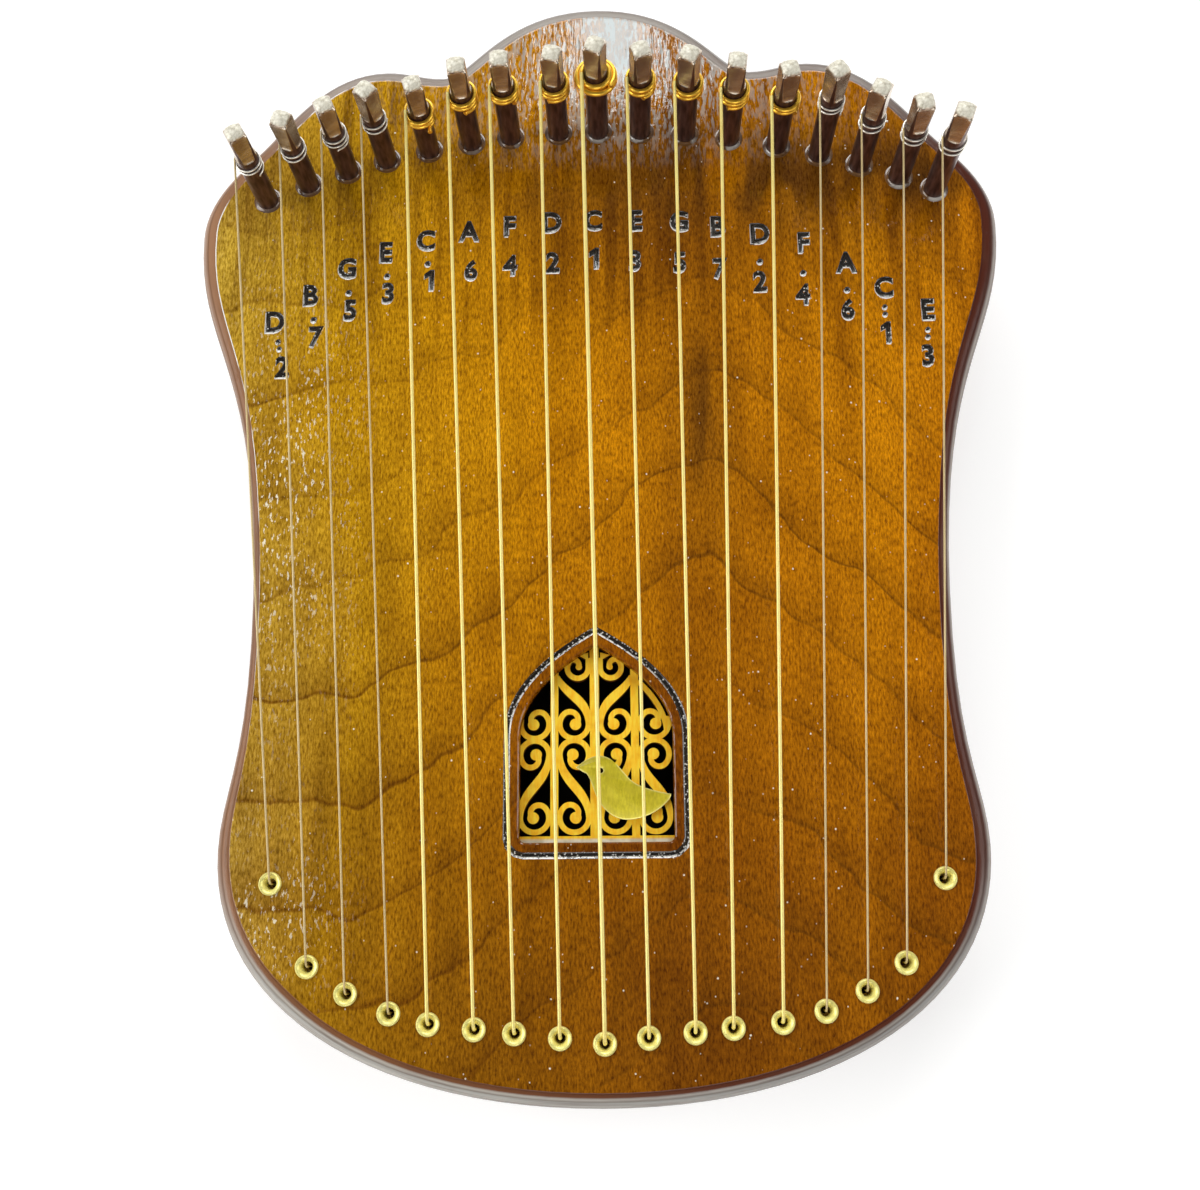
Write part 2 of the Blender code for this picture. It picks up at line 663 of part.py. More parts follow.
def scrolls(bar_edge, far_edge, inner_column):
    """The scrolls of one column, between the edge of its side bar and its far edge."""
    sign = 1 if far_edge > bar_edge else -1
    radius = abs(far_edge - bar_edge) / 2 - SCROLL_WIDTH / 2 + SCROLL_OVERLAP
    middle = (bar_edge + far_edge) / 2
    low, third, second, high = [Vector((middle, SILL_Y + WINDOW_HEIGHT * share)) for share in SCROLL_ROWS]
    down = volute(low, radius, 0, sign, SCROLL_SWEEP, 14)
    up = volute(third, radius, math.pi, sign, SCROLL_SWEEP, 14)[::-1]
    curl = volute(second, radius, 0, sign, SCROLL_SWEEP, 14)
    run = stem(up[-1], up[-1].lerp(Vector((up[-1].x, down[0].y)), 0.45),
               down[0].lerp(Vector((down[0].x, up[-1].y)), 0.45), down[0])
    shapes = [ribbon(up + run + down, range(len(up), len(up) + len(run)))]
    shapes += [bulb(tip, SCROLL_BULB) for tip in (up[0], down[-1], curl[-1])]
    if not inner_column:
        return shapes + [ribbon([curl[0] + Vector((0, radius / 2))] + curl)]
    rise = high.y - second.y
    root = Vector((bar_edge - sign * SCROLL_OVERLAP, second.y + 0.84 * rise))
    bend = root + Vector((sign * 0.7 * radius, -0.36 * rise))
    run = stem(root, bend, curl[0] + Vector((0, 0.45 * rise)), curl[0])
    shapes.append(ribbon([root] + run + curl, range(1, 1 + len(run))))
    bar_side = far_edge + sign * (SCROLL_OVERLAP - SCROLL_WIDTH / 2)
    eye = Vector((bar_side - sign * TOP_SCROLL_RADIUS, high.y))
    top = volute(eye, TOP_SCROLL_RADIUS, 0, sign, TOP_SCROLL_SWEEP, 11)
    shapes.append(ribbon([Vector((bar_side, high.y + TOP_SCROLL_LEAF))] + top))
    shapes.append(bulb(top[-1], TOP_SCROLL_BULB))
    leaf = [Vector((bar_side, high.y + TOP_SCROLL_LEAF + rise)) for rise in (-SCROLL_WIDTH / 2, SCROLL_WIDTH)]
    leaf.append(Vector((bar_side - sign * TOP_SCROLL_LEAF, high.y + TOP_SCROLL_LEAF + SCROLL_WIDTH / 2)))
    return shapes + [leaf]


def rectangle(left, right, low, high):
    return [Vector((left, low)), Vector((right, low)), Vector((right, high)), Vector((left, high))]


def arch_y(x):
    """Height of the window's arch above a point at x."""
    arch = [p for p in window_outline(0) if p.y > SILL_Y + WINDOW_SIDE / 2]
    arch.sort(key=lambda p: p.x)
    for near, far in zip(arch, arch[1:]):
        if near.x <= x <= far.x:
            return near.lerp(far, (x - near.x) / (far.x - near.x)).y
    return SILL_Y + WINDOW_SIDE


def add_grille(finish):
    """The sawn scroll grille glued behind the window."""
    reveal = WINDOW_WIDTH / 2 - GRILLE_REVEAL
    bury = GRILLE_LAP / 2
    solids = [rectangle(GRILLE_X - reveal - bury, GRILLE_X + reveal + bury, SILL_Y - bury, SILL_Y + SILL_BAR)]
    solids.append(rectangle(GRILLE_X - CENTRE_BAR / 2, GRILLE_X + CENTRE_BAR / 2, SILL_Y, APEX_Y + bury))
    for sign in (-1, 1):
        bar_x = GRILLE_X + sign * BAR_OFFSET
        left, right = bar_x - SIDE_BAR / 2, bar_x + SIDE_BAR / 2
        inner_edge, outer_edge = (left, right) if sign > 0 else (right, left)
        solids.append(rectangle(left, right, SILL_Y, arch_y(bar_x) + bury))
        solids += scrolls(inner_edge, GRILLE_X + sign * CENTRE_BAR / 2, True)
        solids += scrolls(outer_edge, GRILLE_X + sign * reveal, False)
    outer = window_outline(GRILLE_LAP)
    inner = window_outline(-GRILLE_REVEAL, GRILLE_X)
    bm = flat_plate(outer, inner, solids, FRAME_HIGH - GRILLE_THICKNESS, FRAME_HIGH)
    add_object("grille", finish_mesh("grille", bm), finish)


def bird_outline():
    """A small perching bird that looks left, within BIRD_LENGTH."""
    size = BIRD_LENGTH
    nodes = (
        (-0.50, 0.215, 0, 40),
        (-0.25, 0.335, 0, 0),
        (0.06, 0.095, -47, -47),
        (0.50, -0.075, -13, -75),
        (0.48, -0.130, -125, -130),
        (0.06, -0.337, 184, 184),
        (-0.31, -0.03, 108, 108),
        (-0.39, 0.15, 128, 165),
        (-0.50, 0.215, 150, 0),
    )
    segments = (
        (0.35, 0.35, 4),
        (0.35, 0.35, 4),
        (0.30, 0.35, 4),
        (0.30, 0.30, 1),
        (0.30, 0.40, 5),
        (0.38, 0.35, 4),
        (0.30, 0.30, 2),
        (0.30, 0.30, 1),
    )
    sized = [(x * size, y * size, a, b) for x, y, a, b in nodes]
    centre = Vector((BIRD_X, SILL_Y + BIRD_Y))
    return [centre + point for point in bezier_path(sized, segments)[:-1]]


def add_bird(finish):
    centre = Vector((BIRD_X - 0.24 * BIRD_LENGTH, SILL_Y + BIRD_Y + 0.18 * BIRD_LENGTH))
    ring = [2 * math.pi * side / 8 for side in range(8)]
    eye = [centre + Vector((math.cos(a), math.sin(a))) * BIRD_EYE / 2 for a in ring]
    bm = flat_plate(bird_outline(), eye, [], FRAME_HIGH + JOINT_GAP, FRAME_HIGH + JOINT_GAP + BIRD_THICKNESS)
    add_object("bird", finish_mesh("bird", bm), finish)


clear_scene()
lyre = bpy.data.objects.new("lyre", None)
bpy.context.scene.collection.objects.link(lyre)

board_wood = material("varnished_soundboard", (0.36, 0.17, 0.02), 0.2)
side_wood = material("varnished_side", (0.22, 0.09, 0.02), 0.25)
back_wood = material("varnished_back", (0.30, 0.14, 0.03), 0.25)
block_wood = material("beech_block", (0.55, 0.36, 0.18), 0.6)
brace_wood = material("spruce_brace", (0.70, 0.53, 0.32), 0.6)
grille_wood = material("boxwood_grille", (0.80, 0.50, 0.06), 0.45)
nickel = material("nickel_pin", (0.55, 0.52, 0.46), 0.2, 1.0)
brass = material("brass_eyelet", (0.80, 0.62, 0.18), 0.25, 1.0)
bird_brass = material("brass_bird", (0.48, 0.44, 0.10), 0.4, 1.0)
steel = material("steel_string", (0.75, 0.75, 0.72), 0.25, 1.0)
bronze = material("bronze_string", (0.85, 0.55, 0.15), 0.3, 1.0)

add_soundboard(board_wood)
add_side("left_side", -1, side_wood)
add_side("right_side", 1, side_wood)
add_back_plate(back_wood)
add_pin_block(block_wood)
add_tail_block(block_wood)
add_brace(brace_wood)
add_grille(grille_wood)
add_bird(bird_brass)
add_pins(nickel)
add_eyelets(brass)
add_strings(steel, bronze)
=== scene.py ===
import math

import bmesh
import bpy
from mathutils import Matrix, Vector
from mathutils.geometry import delaunay_2d_cdt, interpolate_bezier


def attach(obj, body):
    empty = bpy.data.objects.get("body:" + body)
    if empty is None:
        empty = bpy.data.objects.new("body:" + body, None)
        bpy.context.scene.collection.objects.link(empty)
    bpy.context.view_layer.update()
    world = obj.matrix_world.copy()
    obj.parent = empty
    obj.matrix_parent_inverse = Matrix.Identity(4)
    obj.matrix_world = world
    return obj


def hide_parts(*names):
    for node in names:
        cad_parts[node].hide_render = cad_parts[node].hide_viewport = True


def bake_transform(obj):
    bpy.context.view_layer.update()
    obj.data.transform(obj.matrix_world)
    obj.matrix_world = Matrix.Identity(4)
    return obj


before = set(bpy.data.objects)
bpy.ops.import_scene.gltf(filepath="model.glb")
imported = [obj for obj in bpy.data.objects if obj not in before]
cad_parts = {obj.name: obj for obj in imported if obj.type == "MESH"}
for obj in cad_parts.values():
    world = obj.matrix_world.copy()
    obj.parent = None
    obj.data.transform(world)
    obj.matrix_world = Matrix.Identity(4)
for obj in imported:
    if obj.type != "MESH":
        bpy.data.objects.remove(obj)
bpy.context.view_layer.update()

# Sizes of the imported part, in metres, and how far each pin is turned, in degrees
BODY_LENGTH = 0.2585
BODY_DEPTH = 0.025
SHOULDER_WIDTH = 0.190
WAIST_WIDTH = 0.155
BOUT_WIDTH = 0.1642
BOUT_HEIGHT = 0.052
WAIST_HEIGHT = 0.097
SHOULDER_DROP = 0.0615
SIDE_NOTCH_INSET = 0.0135
SIDE_NOTCH_DROP = 0.0375
LOBE_X = 0.0515
LOBE_DROP = 0.0165
CREST_NOTCH_X = 0.0375
CREST_NOTCH_DROP = 0.0185
BACK_RADIUS = 0.0025
TOP_THICKNESS = 0.003
BACK_THICKNESS = 0.003
SIDE_THICKNESS = 0.004
PIN_DIAMETER = 0.005
PIN_HEIGHT = 0.030
PIN_DEPTH = 0.013
PIN_HEAD_LENGTH = 0.0098
PIN_HEAD_CORNERS = 0.0057
PIN_TIP_ACROSS = 0.0041
PIN_TURNS = (30, -18, 24, 50, 17, 6, 2, -13, -23, 18, -26, -8, 11, 34, -29, 8, -20)
EYELET_FLANGE = 0.0049
WINDOW_X = -0.0009
WINDOW_WIDTH = 0.0328
WINDOW_HEIGHT = 0.0425
WINDOW_SIDE = 0.0225
WINDOW_SILL = 0.053
WINDOW_CORNER = 0.0012
GRILLE_X = -0.0013
TAIL_Y = -BODY_LENGTH / 2
CREST_Y = BODY_LENGTH / 2
FRONT_Z = BODY_DEPTH
BOARD_Z = FRONT_Z - TOP_THICKNESS
SILL_Y = TAIL_Y + WINDOW_SILL
APEX_Y = SILL_Y + WINDOW_HEIGHT

# Sizes that only the dressing has, in metres
MM = 0.001
TINY = 1e-6
GLUE_LINE = 0.00003
OVERSHOOT = 0.002
FRONT_RADIUS = 0.0049
FRONT_LEDGE = 0.0003
LEDGE_Z = FRONT_Z - FRONT_LEDGE
PIN_FLAT_BASE = 0.0043
PIN_RUNOUT = 0.0009
PIN_TIP_ROUND = 0.0015
BRONZE_RADIUS = 0.00037
BRONZE_COIL_RADIUS = 0.00053
STEEL_RADIUS = 0.00023


# Materials

class Nodes:
    """The nodes of a new material or world, and short ways to add and join them."""

    def __init__(self, name, store=bpy.data.materials):
        self.owner = store.new(name)
        self.owner.use_nodes = True
        self.tree = self.owner.node_tree
        self.shader = self.tree.nodes.get("Principled BSDF")

    def add(self, kind, **settings):
        node = self.tree.nodes.new(kind)
        for key, value in settings.items():
            setattr(node, key, value)
        return node

    def join(self, source, target):
        self.tree.links.new(source, target)

    def feed(self, socket, value):
        """Sets a socket to a number or a colour, or joins it to another socket."""
        if isinstance(value, (int, float)):
            socket.default_value = value
        elif isinstance(value, tuple):
            socket.default_value = (*value, 1.0)
        else:
            self.join(value, socket)

    def send(self, name, value):
        """Joins value to a socket of the shader."""
        self.join(value, self.shader.inputs[name])

    def put(self, **values):
        for key, value in values.items():
            self.shader.inputs[key.replace("_", " ")].default_value = value

    def place(self, scale, shift):
        """Object coordinates, scaled and shifted."""
        coord = self.add("ShaderNodeTexCoord")
        mapping = self.add("ShaderNodeMapping")
        mapping.inputs["Scale"].default_value = (scale,) * 3 if isinstance(scale, int) else scale
        mapping.inputs["Location"].default_value = shift
        self.join(coord.outputs["Object"], mapping.inputs["Vector"])
        return mapping.outputs["Vector"]

    def noise(self, scale, shift=(0, 0, 0), detail=2.0, rough=0.5, warp=0.0):
        vector = self.place(scale, shift)
        node = self.add("ShaderNodeTexNoise")
        values = {"Scale": 1.0, "Detail": detail, "Roughness": rough, "Distortion": warp}
        for key, value in values.items():
            node.inputs[key].default_value = value
        self.join(vector, node.inputs["Vector"])
        return node.outputs["Fac"]

    def spots(self, scale, size, share, shift=(0, 0, 0)):
        """Round specks: 1 inside a speck and 0 outside. share is how many cells have one."""
        vector = self.place(scale, shift)
        near = self.add("ShaderNodeTexVoronoi")
        near.inputs["Scale"].default_value = 1.0
        self.join(vector, near.inputs["Vector"])
        inside = self.range(near.outputs["Distance"], size, size * 0.4)
        split = self.add("ShaderNodeSeparateColor")
        self.join(near.outputs["Color"], split.inputs["Color"])
        chosen = self.range(split.outputs["Red"], share, share - 0.02)
        return self.product(inside, chosen)

    def math(self, operation, *values):
        node = self.add("ShaderNodeMath", operation=operation)
        for socket, value in zip(node.inputs, values):
            self.feed(socket, value)
        return node.outputs["Value"]

    def product(self, *values):
        result = values[0]
        for value in values[1:]:
            result = self.math("MULTIPLY", result, value)
        return result

    def bell(self, value, middle, width):
        """1 at middle, falling off over width."""
        away = self.math("DIVIDE", self.math("SUBTRACT", value, middle), width)
        return self.math("POWER", math.e, self.product(away, away, -1.0))

    def range(self, value, low, high, to_low=0.0, to_high=1.0):
        node = self.add("ShaderNodeMapRange")
        self.join(value, node.inputs["Value"])
        for name, number in (("From Min", low), ("From Max", high), ("To Min", to_low), ("To Max", to_high)):
            node.inputs[name].default_value = number
        return node.outputs["Result"]

    def ramp(self, value, *stops):
        node = self.add("ShaderNodeValToRGB")
        elements = node.color_ramp.elements
        while len(elements) < len(stops):
            elements.new(0.5)
        for element, (position, colour) in zip(elements, stops):
            element.position = position
            element.color = (*colour, 1.0)
        self.join(value, node.inputs["Fac"])
        return node.outputs["Color"]

    def mix(self, share, first, second, blend="MIX"):
        node = self.add("ShaderNodeMix", data_type="RGBA", blend_type=blend)
        for index, value in ((0, share), (6, first), (7, second)):
            self.feed(node.inputs[index], value)
        return node.outputs[2]

    def part(self, kind, output, name):
        """One coordinate of the vector that a new node gives."""
        source = self.add(kind)
        split = self.add("ShaderNodeSeparateXYZ")
        self.join(source.outputs[output], split.inputs["Vector"])
        return split.outputs[name]

    def axis(self, name):
        """One object coordinate, in metres."""
        return self.part("ShaderNodeTexCoord", "Object", name)

    def facing(self, name):
        """How far the surface faces along an axis, from -1 to 1."""
        return self.part("ShaderNodeNewGeometry", "Normal", name)

    def bump(self, height, distance, target="Normal"):
        node = self.add("ShaderNodeBump")
        node.inputs["Distance"].default_value = distance
        self.join(height, node.inputs["Height"])
        self.send(target, node.outputs["Normal"])

    def colour(self, value):
        self.send("Base Color", value)


def wood_figure(made):
    """Colour of the flat-sawn wood, and its fibres.

    It is olive at the left and redder at the right. It is darker at the tail and under the pins, partly stain
    and partly painted shade."""
    across = made.axis("X")
    along = made.axis("Y")
    drift = made.noise((11, 8, 11), warp=0.5)
    zone = made.math("ADD", made.range(across, -0.09, 0.09), made.range(drift, 0.3, 0.7, -0.05, 0.05))
    base = made.ramp(zone, (0.0, (0.50, 0.31, 0.030)), (0.18, (0.49, 0.25, 0.004)),
                     (0.30, (0.52, 0.23, 0.002)), (0.42, (0.52, 0.205, 0.001)), (0.52, (0.51, 0.19, 0.001)),
                     (0.61, (0.41, 0.142, 0.001)), (0.70, (0.46, 0.160, 0.001)), (0.83, (0.54, 0.195, 0.001)),
                     (0.92, (0.47, 0.160, 0.001)), (1.0, (0.37, 0.115, 0.001)))
    # Darker towards the tail and a little towards the crest: partly stain, partly painted shade where less
    # light reaches.
    tone = made.ramp(made.range(along, -0.13, 0.13), (0.05, (0.47, 0.41, 1.0)), (0.20, (0.64, 0.57, 1.0)),
                     (0.31, (0.83, 0.79, 1.0)), (0.42, (0.94, 0.92, 1.0)), (0.50, (1.0, 1.0, 1.0)),
                     (0.66, (1.05, 1.06, 1.0)), (0.72, (1.05, 1.06, 1.0)), (0.80, (0.90, 0.90, 1.0)))
    base = made.mix(made.range(across, -0.085, -0.02, 0.4, 1.0), base, tone, "MULTIPLY")
    heart = made.product(made.bell(across, 0.014, 0.026), made.bell(along, 0.062, 0.020), 0.7)
    base = made.mix(heart, base, (0.21, 0.062, 0.001))
    arch = made.product(made.bell(across, 0.022, 0.045), -0.050)
    wander = made.noise((38, 30, 38), shift=(0.4, 0.7, 0), detail=3.0)
    field = made.math("ADD", made.math("ADD", along, arch), made.range(wander, 0, 1, -0.012, 0.012))
    level = made.math("FRACT", made.math("DIVIDE", field, 0.023))
    shade = made.product(made.range(level, 0.0, 0.03), made.range(level, 0.40, 0.03))
    core = made.product(made.range(level, 0.0, 0.015), made.range(level, 0.06, 0.03))
    line = made.math("ADD", made.product(shade, 0.45), made.product(core, 0.50))
    faint = made.range(made.noise(14, shift=(2, 5, 1), detail=1.0), 0.32, 0.60, 0.22, 1.0)
    upper = made.range(along, 0.030, 0.060)
    faint = made.product(faint, made.range(upper, 0, 1, 1.0, 0.3), made.range(across, -0.02, 0.03, 1.0, 0.85))
    base = made.mix(made.product(line, faint), base, (0.15, 0.048, 0.001))
    long_streaks = made.noise((330, 17, 60), shift=(1, 6, 0), detail=3.0, rough=0.62)
    streaked = made.ramp(long_streaks, (0.34, (0.56, 0.50, 0.45)), (0.50, (1.0, 1.0, 1.0)),
                         (0.66, (1.24, 1.28, 1.3)))
    base = made.mix(made.range(upper, 0, 1, 0.25, 1.0), base, streaked, "MULTIPLY")
    ragged = made.range(made.noise((220, 26, 60)), 0.35, 0.6, 0.35, 0.95)
    smear = made.product(made.bell(across, 0.0245, 0.006), made.bell(along, 0.018, 0.022), ragged)
    base = made.mix(smear, base, (0.12, 0.040, 0.002))
    # A darker band below the pins: partly stain, partly painted shade of the pins.
    patchy = made.range(made.noise((95, 30, 60), shift=(3, 1, 0)), 0.37, 0.56)
    stain = made.product(made.bell(along, 0.079, 0.014), made.range(across, -0.03, 0.02, 0.3, 1.0), patchy)
    base = made.mix(stain, base, (0.13, 0.045, 0.003))
    cloud = made.noise((120, 46, 60), shift=(7, 3, 0), detail=3.0, rough=0.6)
    base = made.mix(1.0, base, made.ramp(cloud, (0.30, (0.80, 0.76, 0.7)), (0.5, (1.0, 1.0, 1.0)),
                                         (0.70, (1.16, 1.18, 1.2))), "MULTIPLY")
    fibres = made.noise((2300, 640, 600), detail=4.0, rough=0.68)
    base = made.mix(1.0, base, made.ramp(fibres, (0.34, (0.45, 0.37, 0.3)), (0.50, (1.0, 1.0, 1.0)),
                                         (0.66, (1.45, 1.55, 2.6))), "MULTIPLY")
    return base, fibres


def edge_sheets_and_painted_light(made):
    """Colour of the rounded edge: glued sheets, brown at the left and dark red at the right. The dark right
    is painted shade; painted reflections make the outer rounding pale and the crest and the tail grey; a
    painted highlight runs along the ledge at the left.
    """
    across = made.axis("X")
    along = made.axis("Y")
    height = made.axis("Z")
    # Darker towards the right: painted shade of the side away from the light.
    tone = made.ramp(made.range(across, -0.095, 0.095), (0.0, (0.34, 0.19, 0.11)), (0.14, (0.24, 0.11, 0.05)),
                     (0.62, (0.11, 0.036, 0.020)), (1.0, (0.085, 0.022, 0.013)))
    rounded = made.range(height, FRONT_Z - 0.0065, FRONT_Z - 0.0048)
    crest = made.product(made.range(along, 0.085, 0.112), rounded)
    tail = made.product(made.range(along, -0.078, -0.105), rounded)
    # Painted reflection: the outer part of the rounding pale grey, more at the right and at the tail.
    outer = made.range(height, LEDGE_Z - 0.0008, LEDGE_Z - 0.0015)
    pale = made.math("MAXIMUM", made.range(across, -0.02, 0.07, 0.25, 0.75), made.product(tail, 0.9))
    tone = made.mix(made.product(outer, pale, rounded), tone, (0.46, 0.43, 0.39))
    # Painted reflection: the rounding grey at the crest, and at the tail below the lip.
    lip = made.range(height, LEDGE_Z - 0.00010, LEDGE_Z - 0.00025)
    painted_sheen = made.math("MAXIMUM", made.product(crest, 0.9), made.product(tail, lip, 0.92))
    lighter = made.product(tail, made.range(across, 0.04, -0.04))
    grey = made.mix(lighter, (0.38, 0.37, 0.35), (0.52, 0.51, 0.47))
    tone = made.mix(painted_sheen, tone, grey)
    sheets = made.ramp(made.range(height, FRONT_Z - 0.008, FRONT_Z), (0.0, (0.7, 0.7, 0.7)),
                       (0.40, (0.85, 0.85, 0.85)), (0.62, (1.0, 1.0, 1.0)), (0.66, (0.62, 0.56, 0.52)),
                       (0.70, (1.1, 1.05, 1.0)), (0.86, (1.0, 1.0, 1.0)), (0.89, (0.62, 0.56, 0.52)),
                       (0.92, (1.05, 1.0, 0.95)))
    tone = made.mix(1.0, tone, sheets, "MULTIPLY")
    streaks = made.noise((60, 60, 2400), detail=3.0)
    tone = made.mix(made.range(streaks, 0.45, 0.7, 0, 0.4), tone, (0.12, 0.06, 0.04))
    # Painted highlight: a broken white line along the ledge at the left.
    broken = made.range(made.noise((260, 60, 260)), 0.36, 0.5)
    rim = made.range(height, LEDGE_Z, LEDGE_Z + 0.00004)
    rim = made.product(rim, made.range(across, -0.035, -0.060), made.range(along, -0.06, -0.01), broken)
    return made.mix(rim, tone, (0.90, 0.90, 0.86))


def varnished_wood(name, tint=(1.0, 1.0, 1.0), edge=False, dust_and_glare=True):
    """Wood under thick gloss varnish.

    edge shows the less glossy sheets below the face, with their painted shade, reflections and highlight. The
    last flag adds white specks, painted glints at the left and a painted reflection at the crest."""
    made = Nodes(name)
    across = made.axis("X")
    along = made.axis("Y")
    base, fibres = wood_figure(made)
    base = made.mix(1.0, base, tint, "MULTIPLY")
    made.put(Roughness=0.6, Specular_IOR_Level=0.0, Coat_Weight=1.0, Coat_Roughness=0.05, Coat_IOR=1.5)
    peel = made.noise(830, detail=1.0)
    runs = made.noise((900, 180, 500), detail=2.0)
    glare_patch = made.product(made.bell(across, 0.0045, 0.008), made.range(along, 0.104, 0.112))
    ripples = made.math("ADD", runs, made.product(peel, 0.22))
    skin = made.product(ripples, made.range(glare_patch, 0.2, 0.7, 1.0, 0.08))
    if dust_and_glare:
        # Painted glints: white sparkles at the left, and low at the left near the tail.
        left = made.product(made.range(across, -0.050, -0.068), made.bell(along, 0.002, 0.038))
        low = made.product(made.bell(across, -0.070, 0.012), made.bell(along, -0.090, 0.014), 0.8)
        glint_grain = made.range(made.noise((1500, 560, 650), detail=3.0, rough=0.62), 0.60, 0.635)
        flock = made.range(made.noise((110, 50, 90), shift=(4, 1, 0), detail=1.0), 0.38, 0.50)
        painted_glints = made.product(glint_grain, made.math("MAXIMUM", left, low), flock)
        # Painted reflection: grey streaks of glare over the crest.
        painted_crest_sheen = made.product(made.bell(across, 0.008, 0.036), made.range(along, 0.082, 0.106))
        brushed = made.range(made.noise((1500, 360, 500), shift=(2, 2, 0), detail=3.0), 0.48, 0.57)
        base = made.mix(made.product(painted_crest_sheen, brushed, 0.9), base, (0.52, 0.55, 0.53))
        # Painted reflection: a bluish grey patch of glare at the middle of the crest.
        base = made.mix(made.product(glare_patch, 0.7), base, (0.26, 0.31, 0.31))
        few = made.spots((470, 430, 470), 0.12, 0.12)
        fine = made.spots((900, 700, 900), 0.16, 0.10, shift=(0.3, 0.2, 0))
        # White specks and the painted glints, as one cream colour.
        dust_and_glints = made.math("MAXIMUM", painted_glints, made.math("MAXIMUM", few, made.product(fine, 0.7)))
        base = made.mix(made.product(dust_and_glints, 0.9), base, (0.97, 0.92, 0.72))
        skin = made.math("ADD", skin, dust_and_glints)
    if edge:
        below = made.range(made.axis("Z"), FRONT_Z - 0.00001, FRONT_Z - 0.00003)
        base = made.mix(below, base, edge_sheets_and_painted_light(made))
        made.send("Coat Weight", made.range(below, 0, 1, 1.0, 0.35))
        made.send("Coat Roughness", made.range(below, 0, 1, 0.05, 0.22))
    made.colour(base)
    made.bump(skin, 0.00007, "Coat Normal")
    made.bump(fibres, 0.00003)
    return made.owner


def bare_wood(name, light, dark):
    made = Nodes(name)
    grain = made.noise((900, 60, 900), detail=4.0, rough=0.6, warp=0.3)
    broad = made.noise((60, 14, 60))
    base = made.mix(made.range(grain, 0.4, 0.7), light, dark)
    made.colour(made.mix(made.range(broad, 0.4, 0.8, 0, 0.5), base, dark))
    made.put(Roughness=0.6)
    made.bump(grain, 0.00005)
    return made.owner


def grille_wood():
    """Yellow sawn wood whose sawn walls are burnt brown, with a painted highlight along the sill."""
    made = Nodes("yellow_grille_wood")
    grain = made.noise((1800, 300, 900), detail=3.0)
    base = made.mix(made.range(grain, 0.35, 0.7), (1.0, 0.70, 0.05), (0.98, 0.50, 0.012))
    mottle = made.noise(330)
    base = made.mix(made.range(mottle, 0.52, 0.74, 0, 0.6), base, (0.80, 0.33, 0.008))
    # Painted highlight: a pale strip along the sill.
    painted_sill_highlight = made.range(made.axis("Y"), SILL_Y + 0.0011, SILL_Y + 0.0006)
    varnish = made.mix(made.range(mottle, 0.4, 0.6), (0.92, 0.88, 0.70), (0.66, 0.60, 0.44))
    base = made.mix(painted_sill_highlight, base, varnish)
    made.colour(made.mix(made.range(made.facing("Z"), 0.35, 0.85), (0.16, 0.055, 0.008), base))
    made.put(Roughness=0.5, Specular_IOR_Level=0.2)
    made.bump(grain, 0.00005)
    return made.owner


def black_groove(name, glints):
    """Burnt engraving filled with varnish, with white specks of painted glints and a painted highlight on the
    lower walls.
    """
    made = Nodes(name)
    fine = made.noise(2600, detail=3.0, rough=0.7)
    # Painted glints: white specks.
    specks = made.spots(1700, 0.40, glints)
    # Painted highlight on the lower walls, which face towards the crest.
    slope = made.math("SUBTRACT", made.facing("Y"), made.product(made.facing("X"), 0.35))
    patch = made.range(made.noise(1300, shift=(0, 4, 0)), 0.40, 0.50)
    lit = made.product(made.range(slope, 0.08, 0.22), patch)
    base = made.mix(made.range(fine, 0.4, 0.7), (0.004, 0.003, 0.002), (0.030, 0.022, 0.016))
    share = made.math("MAXIMUM", specks, lit)
    made.colour(made.mix(made.product(share, 0.9), base, (0.84, 0.83, 0.78)))
    made.put(Roughness=0.25, Coat_Weight=1.0, Coat_Roughness=0.04, Coat_IOR=1.6)
    made.bump(made.math("ADD", fine, specks), 0.00005)
    return made.owner


def painted_stroke_highlight():
    """A painted highlight: pale broken colour along the lower edge of each engraved stroke."""
    made = Nodes("painted_stroke_highlight")
    patch = made.noise(900, shift=(3, 0, 1), detail=2.0)
    made.colour(made.mix(made.range(patch, 0.30, 0.42), (0.10, 0.08, 0.05), (0.96, 0.96, 0.93)))
    made.put(Roughness=0.3, Coat_Weight=1.0, Coat_Roughness=0.05, Coat_IOR=1.5)
    made.bump(patch, 0.00004)
    return made.owner


def eyelet_brass():
    """Lacquered brass with fine scratches and a dull stain."""
    made = Nodes("lacquered_brass")
    lines = made.noise(1500, detail=3.0, rough=0.65)
    cloud = made.noise((420, 420, 160), shift=(1, 2, 3), detail=3.0)
    share = made.math("ADD", made.range(cloud, 0.42, 0.72, 0, 0.4), made.range(lines, 0.5, 0.75, 0, 0.24))
    made.colour(made.mix(share, (0.98, 0.91, 0.30), (0.86, 0.70, 0.14)))
    made.put(Metallic=0.3)
    made.send("Roughness", made.range(lines, 0.3, 0.7, 0.225, 0.375))
    made.bump(lines, 0.00002)
    return made.owner


